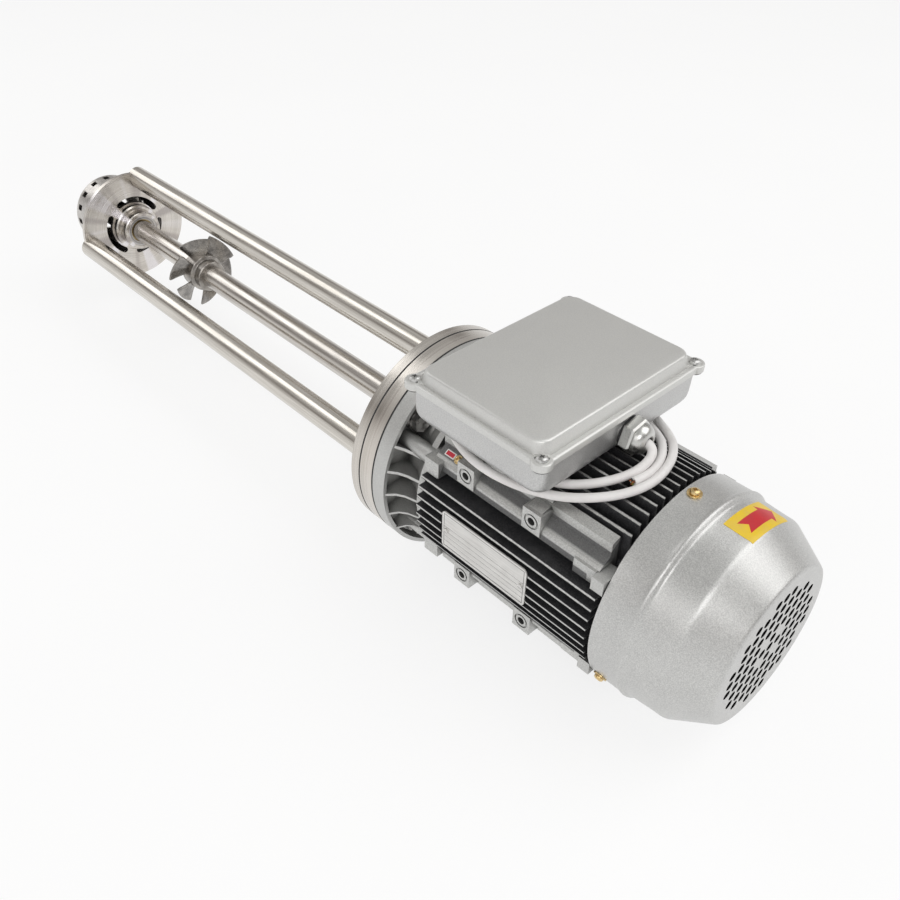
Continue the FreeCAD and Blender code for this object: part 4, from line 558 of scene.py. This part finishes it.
# The white power cable: twice round the neck under the terminal box, with a bare cut end
CABLE_ROUTE = (
    (212, 5, 106), (222.5, 5, 106), (228.2, 0.5, 102.5), (229, -9, 98.2), (226.3, -20, 94.8),
    (219.5, -32, 91.2), (207.5, -44.5, 86.8), (191, -55, 82.5), (170, -61, 80.5), (147, -63.5, 80.5),
    (123, -63.5, 80.5), (100, -60, 81), (80, -49.5, 83.8), (66, -32.5, 90), (58.5, -13, 95.5),
    (56, 8, 96), (56, 27, 93.3), (59.5, 43.5, 88), (72, 58, 82), (91.5, 70, 78.8), (115, 76, 78),
    (141, 77.5, 78), (166, 73, 79.5), (188.5, 63, 81.5), (208.5, 49, 86.8), (225, 33.5, 92),
    (236, 15.5, 94.6), (241.4, -3.5, 94.5), (240.8, -20.5, 92.6), (232.5, -36.5, 88.8),
    (217.5, -51, 84), (197.5, -63.5, 79.3), (174, -73, 77.5), (149, -78.5, 77), (123, -78.5, 77),
    (97, -72, 79), (74, -58, 82.5), (57, -40, 90), (49, -21, 99.5), (48.5, -2, 105.5),
    (54.5, 14, 105), (61.5, 27, 99), (66, 38.5, 90), (78, 49, 84), (97, 57, 82), (120, 61.5, 81.5),
    (144, 60.5, 81.5), (167, 56.5, 82), (188, 48.5, 84.5), (206.5, 37.5, 89.8), (219.5, 26, 94.3),
    (229, 12.5, 95), (233.8, -1.5, 94.5), (234.3, -13.5, 93.4), (231.6, -25, 93.6))
CABLE_RADIUS = 3.5


def spline_curve(name, points, bevel, material):
    data = bpy.data.curves.new(name, "CURVE")
    data.dimensions = "3D"
    spline = data.splines.new("NURBS")
    spline.points.add(len(points) - 1)
    for point, place in zip(spline.points, points):
        point.co = (place[0] * MM, place[1] * MM, place[2] * MM, 1.0)
    spline.order_u = 3
    spline.use_endpoint_u = True
    spline.resolution_u = 12
    data.bevel_depth = bevel * MM
    data.bevel_resolution = 6
    data.use_fill_caps = True
    return link(name, data, material)


def centre_line(curve):
    """The middle of a cord as a list of points, read from its own spline."""
    plain = curve.copy()
    plain.data = curve.data.copy()
    plain.data.bevel_depth = 0.0
    bpy.context.scene.collection.objects.link(plain)
    bpy.context.view_layer.update()
    line = bpy.data.meshes.new_from_object(plain.evaluated_get(bpy.context.evaluated_depsgraph_get()))
    points = [v.co.copy() for v in line.vertices]
    bpy.data.objects.remove(plain)
    return points


cable = spline_curve("white_power_cable", CABLE_ROUTE, CABLE_RADIUS, white_pvc)
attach(cable, "machine")
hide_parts("power_cable")
run = centre_line(cable)


# The cores' middles from the cable's middle and the strands' middles from a core's, in millimetres
CORE_OUT, STRAND_OUT = 1.55, 0.46
CORE_COLOURS = ((0.02, 0.02, 0.022), (0.16, 0.07, 0.03), (0.30, 0.36, 0.05))
CORE_SHEATH = ((0, 0), (1.25, 0), (1.25, 1.9), (1.1, 2.1), (0.75, 2.1), (0.75, 1.8), (0, 1.8))
STRAND = ((0, 0), (0.22, 0), (0.22, 2.9), (0.12, 3.0), (0, 3.0))


def cable_cores():
    """Three insulated cores with copper in them, at the cut end of the cable."""
    end = run[-1]
    along = (run[-1] - run[-3]).normalized()
    side = along.cross(Vector((0, 0, 1))).normalized()
    rise = side.cross(along)
    pieces = []
    for i, colour in enumerate(CORE_COLOURS):
        angle = 2.1 * i + 0.4
        spot = end + (side * math.cos(angle) + rise * math.sin(angle)) * CORE_OUT * MM
        bm = bmesh.new()
        lathe(bm, in_metres(CORE_SHEATH), facing(along, spot - along * MM), 20)
        plastic = soft_plastic("core_colour_%d" % (i + 1), colour, tuple(c * 0.6 for c in colour), 0.4)
        sheath = mesh_of("core_sheath_%d" % (i + 1), bm, plastic)
        crease(sheath, 35)
        bm = bmesh.new()
        for j in range(7):
            turn = j * math.pi / 3
            off = STRAND_OUT * MM if j else 0
            strand = spot + (side * math.cos(turn) + rise * math.sin(turn)) * off
            lathe(bm, in_metres(STRAND), facing(along, strand - along * 0.9 * MM), 8)
        copper = mesh_of("core_copper_%d" % (i + 1), bm, winding)
        for piece in (sheath, copper):
            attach(piece, "machine")
            pieces.append(piece)
    return pieces


cores = cable_cores()


# Cross recessed pan head screws, with the rise of a head in shares of its radius and its height
PAN_SHAPE = ((1.0, 0.12), (0.98, 0.45), (0.86, 0.74), (0.62, 0.92), (0.30, 0.99), (0.0, 1.0))

# Heads as radius, height and the recess's length, width and depth, and washers as radius and height
LID_HEAD = (4.6 * MM, 3.2 * MM, (4.6 * MM, 1.1 * MM, 1.9 * MM))
COWL_HEAD, COWL_WASHER = (3.9 * MM, 2.9 * MM, (4.4 * MM, 1.2 * MM, 1.7 * MM)), (5.6 * MM, 1.2 * MM)
EARTH_HEAD, EARTH_WASHER = (2.9 * MM, 2.3 * MM, (3.4 * MM, 0.9 * MM, 1.4 * MM)), (3.8 * MM, 0.9 * MM)
WASHER_EDGE = 0.15 * MM
CUT_PAST = 1.5 * MM
RECESS_TAPER = 0.72


def pan_head(name, matrix, radius, height, recess, material, washer=None):
    """A pan head with a cross recess, and a washer under it if one is given."""
    length, width, depth = recess
    foot = 0.0
    profile = [(0, 0), (radius * 0.96, 0)]
    if washer:
        reach, foot = washer
        profile = [(0, 0), (reach - WASHER_EDGE, 0), (reach, WASHER_EDGE), (reach, foot - WASHER_EDGE),
                   (reach - WASHER_EDGE, foot), (radius * 0.9, foot)]
    profile += [(radius * wide, foot + height * tall) for wide, tall in PAN_SHAPE]
    bm = bmesh.new()
    lathe(bm, profile, matrix, 36)
    head = mesh_of(name, bm, material)
    deep = matrix @ Matrix.Translation((0, 0, foot + height - depth))
    for across, along in ((length, width), (width, length)):
        cutter = bmesh.new()
        bar(cutter, deep, (across, along, depth + CUT_PAST), RECESS_TAPER)
        carve(head, cutter)
    crease(head, 30)
    return head


# Four screws hold the lid, at its ears, with places in millimetres from the middle of the lid
LID_MIDDLE, LID_EAR_OUT = (134.0, 0.0), (63.8, 88.2)
LID_SCREW_DROP = 3.6 * MM
lid_screw_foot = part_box("lid_screws")[1].z - LID_SCREW_DROP
for number, (sx, sy) in enumerate(CORNERS):
    spot = Vector(((LID_MIDDLE[0] + sx * LID_EAR_OUT[0]) * MM, sy * LID_EAR_OUT[1] * MM, lid_screw_foot))
    screw = pan_head("lid_screw_%d" % (number + 1), facing((0, 0, 1), spot, 0.5 + number * 0.8),
                     *LID_HEAD, bright_zinc)
    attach(screw, "machine")
    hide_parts("lid_screws")

# Three screws hold the cowl, each on a washer, with places in millimetres along the machine and out from its axis
COWL_SCREW_X, COWL_SCREW_OUT = 267.1, 90.5
for number in range(3):
    angle = math.radians(90 + 120 * number)
    out = Vector((0, math.cos(angle), math.sin(angle)))
    spot = out * COWL_SCREW_OUT * MM + Vector((COWL_SCREW_X * MM, 0, 0))
    screw = pan_head("cowl_screw_%d" % (number + 1), facing(out, spot, 0.3 + number),
                     *COWL_HEAD, brass, COWL_WASHER)
    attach(screw, "machine")
    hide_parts("cowl_screws", "cowl_washers")


# Fan cowl with its bead and its rounded cone, as radius and place along the machine in millimetres
COWL_SKIN = (
    (90.5, 259.1), (90.5, 284.2), (90.75, 285.2), (91.25, 286.3), (91.4, 287.3), (91.2, 288.3),
    (90.4, 289.5), (89.2, 290.6), (88.5, 291.7), (88.3, 292.8), (87.95, 298.0), (87.0, 312.0),
    (86.8, 317.8), (86.6, 319.2), (86.2, 320.5), (85.7, 321.7), (85.0, 322.9), (70.7, 347.0),
    (69.5, 349.0), (68.9, 350.0), (68.1, 350.9), (67.1, 351.4), (66.0, 351.6))
COWL_INSIDE = (
    (65.0, 350.0), (66.7, 349.4), (68.4, 346.8), (80.4, 326.8), (83.4, 322.3), (85.0, 317.3),
    (86.3, 297.6), (86.8, 291.4), (88.1, 288.8), (88.9, 286.0), (88.9, 259.1), (90.5, 259.1))

# The grille's round holes: their pitch, the cut that makes one in millimetres, and the reach of the square grid
GRILLE_PITCH = 10.2 * MM
GRILLE_CUT = ((0, 346), (3.9, 346), (3.9, 356), (0, 356))
GRILLE_STEPS, GRILLE_REACH = 5, 26


def cowl_radius(x):
    """Radius of the cowl's skin at a place along the machine, both in millimetres."""
    for (r1, x1), (r2, x2) in zip(COWL_SKIN, COWL_SKIN[1:]):
        if x1 <= x <= x2:
            return r1 + (r2 - r1) * (x - x1) / (x2 - x1)
    return COWL_SKIN[-1][0]


def cowl():
    """The pressed cowl with its grid of holes, less the four on the diagonals round the middle one."""
    profile = COWL_SKIN + ((0, 351.6), (0, 350.0)) + COWL_INSIDE
    bm = bmesh.new()
    lathe(bm, in_metres(profile), ALONG_X, 160)
    bmesh.ops.remove_doubles(bm, verts=bm.verts, dist=1e-6)
    cover = mesh_of("pressed_fan_cowl", bm, cowl_paint)
    holes = bmesh.new()
    for i in range(-GRILLE_STEPS, GRILLE_STEPS + 1):
        for j in range(-GRILLE_STEPS, GRILLE_STEPS + 1):
            if i * i + j * j <= GRILLE_REACH and (abs(i), abs(j)) != (1, 1):
                middle = (0, i * GRILLE_PITCH, j * GRILLE_PITCH)
                lathe(holes, in_metres(GRILLE_CUT), facing((1, 0, 0), middle), 24)
    carve(cover, holes)
    crease(cover, 32)
    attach(cover, "machine")
    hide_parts("fan_cowl")


cowl()


# Lid of the terminal box: a rounded rim, a groove, a sloped band and a wide raised panel, with four screw ears

# A level is half its length, half its width, its corner radius and its height, in millimetres
LID_LEVELS = (
    (56.5, 81.0, 7.0, 134.2), (60.5, 85.0, 8.0, 131.0), (63.0, 87.0, 9.0, 122.0), (69.0, 92.8, 9.5, 122.0),
    (69.5, 93.3, 9.8, 122.6), (69.6, 93.4, 9.9, 126.8), (69.3, 93.1, 9.8, 127.7), (68.5, 92.3, 9.5, 128.2),
    (67.6, 91.4, 9.4, 128.4), (65.9, 89.8, 9.4, 128.4), (65.3, 89.2, 9.5, 128.1), (64.9, 88.8, 9.6, 127.4),
    (64.1, 88.1, 9.8, 127.3), (63.7, 87.7, 10.0, 127.9), (63.2, 87.3, 10.2, 129.4), (62.0, 86.4, 10.6, 133.6),
    (61.4, 85.9, 10.8, 135.6), (60.9, 85.4, 10.7, 136.6), (60.1, 84.6, 10.4, 137.2), (58.9, 83.4, 9.9, 137.4))
LID_EAR = ((0, 122.0), (7.6, 122.0), (8.0, 122.5), (8.0, 127.2), (7.7, 128.0), (7.0, 128.35), (5.4, 128.4),
           (0, 128.4))


def rounded_ring(bm, half_x, half_y, corner, z, steps=9):
    """Vertices round a level rectangle with rounded corners."""
    ring = []
    for side_x, side_y, start in ((1, 1, 0), (-1, 1, 90), (-1, -1, 180), (1, -1, 270)):
        for k in range(steps + 1):
            a = math.radians(start + 90 * k / steps)
            x = LID_MIDDLE[0] + side_x * (half_x - corner) + corner * math.cos(a)
            y = LID_MIDDLE[1] + side_y * (half_y - corner) + corner * math.sin(a)
            ring.append(bm.verts.new((x * MM, y * MM, z * MM)))
    return ring


def lofted(name, levels, material):
    """A closed form through level rounded rectangles, from its inner face round to its outer one."""
    bm = bmesh.new()
    rings = [rounded_ring(bm, *level) for level in levels]
    for low, high in zip(rings, rings[1:]):
        for k in range(len(low)):
            after = (k + 1) % len(low)
            bm.faces.new((low[k], low[after], high[after], high[k]))
    bm.faces.new(rings[0])
    bm.faces.new(rings[-1])
    thing = mesh_of(name, bm, material)
    crease(thing, 28)
    return thing


def lid():
    pieces = [lofted("stepped_lid", LID_LEVELS, lid_paint)]
    for number, (side_x, side_y) in enumerate(((-1, -1), (-1, 1), (1, -1), (1, 1))):
        spot = Vector((LID_MIDDLE[0] + side_x * LID_EAR_OUT[0], side_y * LID_EAR_OUT[1], 0)) * MM
        bm = bmesh.new()
        lathe(bm, in_metres(LID_EAR), facing((0, 0, 1), spot), 40)
        ear = mesh_of("lid_ear_%d" % (number + 1), bm, lid_paint)
        crease(ear, 28)
        pieces.append(ear)
    for piece in pieces:
        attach(piece, "machine")
        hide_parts("terminal_box_lid")


lid()


# Body of the terminal box, in levels like the lid's, down to a wide fillet round its floor
BOX_INSIDE = ((50.0, 74.0, 9.0, 93.2), (60.0, 84.0, 9.0, 97.0), (63.4, 87.4, 8.0, 104.0),
              (63.8, 87.8, 7.0, 121.0))
BOX_WALL = ((67.0, 91.0, 9.6, 121.0), (66.9, 90.9, 9.8, 112.0), (66.7, 90.7, 10.2, 103.5))
FILLET_START = (66.6, 90.6, 10.4, 102.5)
FILLET_WIDE, FILLET_TALL, FILLET_STEPS = 12.0, 12.5, 8


def box_body():
    levels = list(BOX_INSIDE + BOX_WALL)
    half_x, half_y, corner, top = FILLET_START
    for step in range(1, FILLET_STEPS + 1):
        a = math.radians(90 * step / FILLET_STEPS)
        inset, drop = FILLET_WIDE * (1 - math.cos(a)), FILLET_TALL * math.sin(a)
        levels.append((half_x - inset, half_y - inset, corner + inset * 0.4, top - drop))
    body = lofted("rounded_terminal_box", levels, box_paint)
    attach(body, "machine")
    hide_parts("terminal_box")


box_body()


# The two gasket seams at the flanges, pressed out a little so that they show as dark lines
SEAM_PROUD, SEAM_SQUEEZE, SEAM_DEPTH = 0.05 * MM, 0.45 * MM, 6 * MM


def seam_rings():
    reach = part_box("rod_flange")[1][1] + SEAM_PROUD
    inside = reach - SEAM_DEPTH
    for number, node in enumerate(("rod_flange_gasket", "motor_flange_gasket")):
        low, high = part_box(node)
        left, right = low[0] - SEAM_SQUEEZE, high[0] + SEAM_SQUEEZE
        bm = bmesh.new()
        lathe(bm, [(inside, left), (reach, left), (reach, right), (inside, right), (inside, left)], ALONG_X, 180)
        bmesh.ops.remove_doubles(bm, verts=bm.verts, dist=1e-6)
        ring = mesh_of("gasket_seam_%d" % (number + 1), bm, gasket)
        crease(ring, 30)
        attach(ring, "machine")
        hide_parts(node)


seam_rings()


# Yellow label with a plain red arrow for the turning direction, on the cowl's shoulder

# Its corners are places along the machine in millimetres and angles round it in degrees
LABEL_CORNERS = ((297.1, 95.5), (297.0, 62.8), (321.3, 62.3), (320.9, 95.5))
LABEL_LIFTS = (0.02, 0.22)
ARROW_START, ARROW_TURN = 95.5, 33.0
ARROW_X, ARROW_WIDE = 0.297, 0.0242


def label_finish():
    f = Finish("label_with_arrow")
    x, y, z = f.axes()
    turned = f.math("SUBTRACT", math.radians(ARROW_START), f.math("ARCTAN2", z, y))
    along = f.math("DIVIDE", turned, math.radians(ARROW_TURN))
    across = f.math("DIVIDE", f.math("SUBTRACT", x, ARROW_X), ARROW_WIDE)
    across = f.math("ABSOLUTE", f.math("SUBTRACT", across, 0.5))
    notch = f.math("SUBTRACT", 0.26, f.math("MULTIPLY", across, 0.50))
    body = f.math("MULTIPLY", f.math("GREATER_THAN", along, notch), f.math("LESS_THAN", along, 0.71))
    body = f.math("MULTIPLY", f.math("LESS_THAN", across, 0.24), body)
    slope = f.math("MULTIPLY", f.math("SUBTRACT", 0.94, along), 1.7)
    head = f.math("MULTIPLY", f.math("GREATER_THAN", along, 0.70), f.math("LESS_THAN", across, slope))
    arrow = f.math("MAXIMUM", body, head, clamp=True)
    wear = f.noise(90, 4, 0.6)
    yellow = f.mix(f.span(wear, 0.35, 0.75), (0.80, 0.55, 0.02), (0.72, 0.50, 0.06))
    red = f.mix(f.span(wear, 0.35, 0.75), (0.58, 0.012, 0.02), (0.50, 0.02, 0.03))
    f.relief(f.noise(200, 3), 0.08, 0.0004)
    return f.finish(f.mix(arrow, yellow, red), 0.0, f.span(wear, 0.3, 0.7, 0.30, 0.42))


def label():
    across, down = 32, 12
    bm = bmesh.new()

    def between(pick, u, v):
        """One figure of the four corners, blended across and down the label."""
        a, b, c, d = (corner[pick] for corner in LABEL_CORNERS)
        return (a * (1 - u) + b * u) * (1 - v) + (d * (1 - u) + c * u) * v

    layers = []
    for lift in LABEL_LIFTS:
        grid = []
        for i in range(across + 1):
            row = []
            for j in range(down + 1):
                x = between(0, i / across, j / down)
                a = math.radians(between(1, i / across, j / down))
                r = cowl_radius(x) + lift
                row.append(bm.verts.new((x * MM, r * math.cos(a) * MM, r * math.sin(a) * MM)))
            grid.append(row)
        layers.append(grid)
    for grid in layers:
        grid_faces(bm, grid)
    low, high = layers
    rim = [(i, 0) for i in range(across)] + [(across, j) for j in range(down)]
    rim += [(i, down) for i in range(across, 0, -1)] + [(0, j) for j in range(down, 0, -1)]
    for (a, b), (c, d) in zip(rim, rim[1:] + rim[:1]):
        bm.faces.new((low[a][b], low[c][d], high[c][d], high[a][b]))
    piece = mesh_of("turning_arrow_label", bm, label_finish())
    crease(piece, 50)
    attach(piece, "machine")


label()


# Earth tag and its screw on the rail, beside the front lug, with places and sizes in millimetres
RAIL_NORMAL = (0, -0.55, 0.835)
TAG_SPOT, EARTH_SCREW_SPOT = (89.4, -67.4, 55.7), (98.6, -67.6, 55.6)
TAG_PARTS = (("earth_tag_base", (10.4, 5.4, 0.5), 0.0, (0.78, 0.77, 0.75)),
             ("earth_tag_field", (8.2, 3.6, 0.15), 0.5, (0.55, 0.02, 0.04)))


def earth_point():
    normal = Vector(RAIL_NORMAL).normalized()
    along = Vector((1, 0, 0))
    turn = Matrix((along, normal.cross(along), normal)).transposed().to_4x4()
    spot = Vector(TAG_SPOT) * MM
    for name, size, lift, shade in TAG_PARTS:
        bm = bmesh.new()
        bar(bm, Matrix.Translation(spot + normal * lift * MM) @ turn, tuple(v * MM for v in size))
        bmesh.ops.bevel(bm, geom=list(bm.edges), offset=size[2] * 0.3 * MM, segments=2, affect="EDGES")
        piece = mesh_of(name, bm, soft_plastic(name, shade, tuple(c * 0.8 for c in shade), 0.4))
        crease(piece, 40)
        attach(piece, "machine")
    screw = pan_head("earth_screw", facing(normal, Vector(EARTH_SCREW_SPOT) * MM, 0.6), *EARTH_HEAD, brass,
                     EARTH_WASHER)
    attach(screw, "machine")


earth_point()


# Mixing impeller: six broad twisted blades on a hub with a collar, in millimetres and degrees
HUB = ((13.05, -411.6), (20.2, -411.6), (21.0, -410.8), (21.0, -393.2), (20.3, -392.4), (18.2, -392.0),
       (17.5, -391.2), (17.5, -382.0), (16.7, -381.2), (13.05, -381.2), (13.05, -411.6))
BLADES, FIRST_BLADE, BLADE_MIDDLE = 6, 157, -402
BLADE_ROOT, BLADE_TIP = 20.4, 39.9
ROOT_CHORD, CHORD_GROWTH = 19.0, 20.0
TIP_ROUNDING, TIP_LOSS = 0.85, 2.2
ROOT_PITCH, PITCH_LOSS = 35, 14
BLADE_ROWS, BLADE_COLUMNS = 10, 14


def blade_row(bm, share, middle):
    """Vertices across a blade at a share of the way from its root to its tip."""
    r = BLADE_ROOT + share * (BLADE_TIP - BLADE_ROOT)
    chord = ROOT_CHORD + CHORD_GROWTH * share
    if share > TIP_ROUNDING:
        chord -= (share - TIP_ROUNDING) / (1 - TIP_ROUNDING) * TIP_LOSS
    pitch = math.radians(ROOT_PITCH - PITCH_LOSS * share)
    row = []
    for j in range(BLADE_COLUMNS + 1):
        t = (j / BLADE_COLUMNS - 0.5) * chord
        a = middle - t * math.cos(pitch) / r
        x = BLADE_MIDDLE + t * math.sin(pitch)
        row.append(bm.verts.new((x * MM, r * math.cos(a) * MM, r * math.sin(a) * MM)))
    return row


def impeller():
    bm = bmesh.new()
    lathe(bm, in_metres(HUB), ALONG_X, 64)
    bmesh.ops.remove_doubles(bm, verts=bm.verts, dist=1e-6)
    core = mesh_of("impeller_hub", bm, impeller_steel_painted_shade)
    crease(core, 40)
    pieces = [core]
    for k in range(BLADES):
        middle = math.radians(FIRST_BLADE - 360 // BLADES * k)
        bm = bmesh.new()
        grid_faces(bm, [blade_row(bm, i / BLADE_ROWS, middle) for i in range(BLADE_ROWS + 1)])
        blade = mesh_of("impeller_blade_%d" % (k + 1), bm, blade_steel)
        skin = blade.modifiers.new("skin", "SOLIDIFY")
        skin.thickness = 2.0 * MM
        skin.offset = 0.0
        edge = blade.modifiers.new("edge", "BEVEL")
        edge.width = 0.45 * MM
        edge.segments = 2
        edge.limit_method = "ANGLE"
        settle(blade)
        crease(blade, 40)
        pieces.append(blade)
    for piece in pieces:
        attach(piece, "rotor")
        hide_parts("mixing_impeller")


impeller()


# Dome nut of the cable gland: a chamfered hexagon, a dome and the seal round the cable, in millimetres
GLAND_SPOT = (0, 5 * MM, 106 * MM)
HEXAGON = ((0, 203.3), (14.4, 203.3), (15.4, 204.1), (15.4, 211.2), (13.9, 212.6), (0, 212.6))
DOME = ((0, 212.4), (11.9, 212.4), (12.1, 212.9), (12.1, 213.9), (11.8, 215.4), (11.0, 217.2), (9.7, 218.9),
        (8.0, 220.1), (6.2, 220.7), (5.2, 220.8), (4.6, 220.5), (4.3, 219.7), (4.3, 216.5), (0, 216.5))
SEAL = ((3.55, 217.0), (4.28, 217.0), (4.28, 219.9), (4.05, 220.3), (3.7, 220.2), (3.55, 219.8), (3.55, 217.0))


def dome_nut():
    across = Matrix(((0, 0, 1, 0), (1, 0, 0, 0), (0, 1, 0, 0), (0, 0, 0, 1)))
    axis = Matrix.Translation(GLAND_SPOT) @ across
    bm = bmesh.new()
    lathe(bm, in_metres(HEXAGON), axis @ Matrix.Rotation(math.radians(11), 4, "Z"), 6)
    long_edges = [e for e in bm.edges if abs(e.verts[0].co.x - e.verts[1].co.x) > 4 * MM]
    bmesh.ops.bevel(bm, geom=long_edges, offset=0.5 * MM, segments=2, affect="EDGES")
    hexagon = mesh_of("gland_hexagon", bm, nickel)
    crease(hexagon, 20)
    bm = bmesh.new()
    lathe(bm, in_metres(DOME), axis, 64)
    dome = mesh_of("gland_dome", bm, nickel)
    crease(dome, 50)
    bm = bmesh.new()
    lathe(bm, in_metres(SEAL), axis, 40)
    bmesh.ops.remove_doubles(bm, verts=bm.verts, dist=1e-7)
    seal = mesh_of("gland_seal", bm, rubber)
    crease(seal, 50)
    for piece in (hexagon, dome, seal):
        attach(piece, "machine")
        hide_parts("gland_dome_nut")


dome_nut()


# Floor, world and lamps
FLOOR_REACH = 40.0
FLOOR_GLOW = 0.80


def floor():
    """A pale floor under the machine, lifted towards white where the camera sees it."""
    data = bpy.data.meshes.new("floor")
    size, z = FLOOR_REACH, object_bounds()[0].z
    data.from_pydata([(sx * size, sy * size, z) for sx, sy in CORNERS], [], [(0, 1, 2, 3)])
    f = Finish("pale_floor")
    grain = f.noise(900, 3)
    f.relief(grain, 0.04, 0.0004)
    colour = f.mix(f.span(f.noise(3, 3), 0.3, 0.7), (0.90, 0.90, 0.90), (0.93, 0.93, 0.93))
    base = f.finish(colour, 0.0, 0.75)
    light = f.new("ShaderNodeLightPath")
    seen = f.math("MAXIMUM", light.outputs["Is Camera Ray"],
                  f.math("MAXIMUM", light.outputs["Is Glossy Ray"], light.outputs["Is Transmission Ray"]))
    glow = f.new("ShaderNodeEmission")
    glow.inputs["Color"].default_value = (1, 1, 1, 1)
    glow.inputs["Strength"].default_value = 1.0
    blend = f.new("ShaderNodeMixShader")
    f.put(blend.inputs[0], f.math("MULTIPLY", seen, FLOOR_GLOW))
    f.tree.links.new(f.shader.outputs[0], blend.inputs[1])
    f.tree.links.new(glow.outputs[0], blend.inputs[2])
    f.tree.links.new(blend.outputs[0], f.out.inputs[0])
    ground = link("floor", data, base)
    ground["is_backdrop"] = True


floor()


# Shades of the world from below to above, as a place on the ramp and a colour
SKY_ENDS = ((0.86, 0.86, 0.87, 1), (0.50, 0.50, 0.49, 1))
SKY_BANDS = ((0.16, (0.74, 0.73, 0.72, 1)), (0.34, (0.24, 0.22, 0.21, 1)), (0.55, (0.54, 0.53, 0.52, 1)))


def sky():
    """A shaded studio for the light and the reflections, and plain white for the camera."""
    world = bpy.data.worlds.new("studio")
    bpy.context.scene.world = world
    world.use_nodes = True
    tree = world.node_tree
    tree.nodes.clear()
    out = tree.nodes.new("ShaderNodeOutputWorld")
    back = tree.nodes.new("ShaderNodeBackground")
    plain = tree.nodes.new("ShaderNodeBackground")
    plain.inputs["Color"].default_value = (1, 1, 1, 1)
    plain.inputs["Strength"].default_value = 1.0
    place = tree.nodes.new("ShaderNodeTexCoord")
    parts = tree.nodes.new("ShaderNodeSeparateXYZ")
    ramp = tree.nodes.new("ShaderNodeValToRGB")
    stops = ramp.color_ramp.elements
    for stop, spot, shade in zip(stops, (0.0, 1.0), SKY_ENDS):
        stop.position, stop.color = spot, shade
    for spot, shade in SKY_BANDS:
        stops.new(spot).color = shade
    path = tree.nodes.new("ShaderNodeLightPath")
    blend = tree.nodes.new("ShaderNodeMixShader")
    tree.links.new(place.outputs["Generated"], parts.inputs[0])
    tree.links.new(parts.outputs[2], ramp.inputs[0])
    tree.links.new(ramp.outputs[0], back.inputs["Color"])
    back.inputs["Strength"].default_value = 1.0
    tree.links.new(path.outputs["Is Camera Ray"], blend.inputs[0])
    tree.links.new(back.outputs[0], blend.inputs[1])
    tree.links.new(plain.outputs[0], blend.inputs[2])
    tree.links.new(blend.outputs[0], out.inputs[0])


sky()


# Area lamps: name, place, point aimed at, size and power
LAMPS = (("key", (1.2, 1.2, 2.4), (0.0, 0.0, 0.0), (2.6, 2.6), 36),
         ("fill", (0.3, -2.3, 1.3), (0.0, 0.0, 0.0), (2.4, 1.2), 10),
         ("side", (-2.0, -0.4, 1.5), (0.0, 0.0, 0.0), (1.0, 1.6), 7),
         ("front", (1.45, -1.35, 1.55), (0.2, 0.0, 0.0), (0.9, 0.9), 9))


def lamps():
    for name, spot, aim, size, power in LAMPS:
        data = bpy.data.lights.new(name, "AREA")
        data.shape = "RECTANGLE"
        data.size, data.size_y = size
        data.energy = power
        thing = link(name, data)
        thing.location = spot
        thing.rotation_euler = (Vector(aim) - Vector(spot)).to_track_quat("-Z", "Y").to_euler()


lamps()

bpy.context.scene.view_settings.view_transform = "Standard"


# A box's corners as plain lists of numbers
def plain(box):
    return [[float(v) for v in corner] for corner in box]
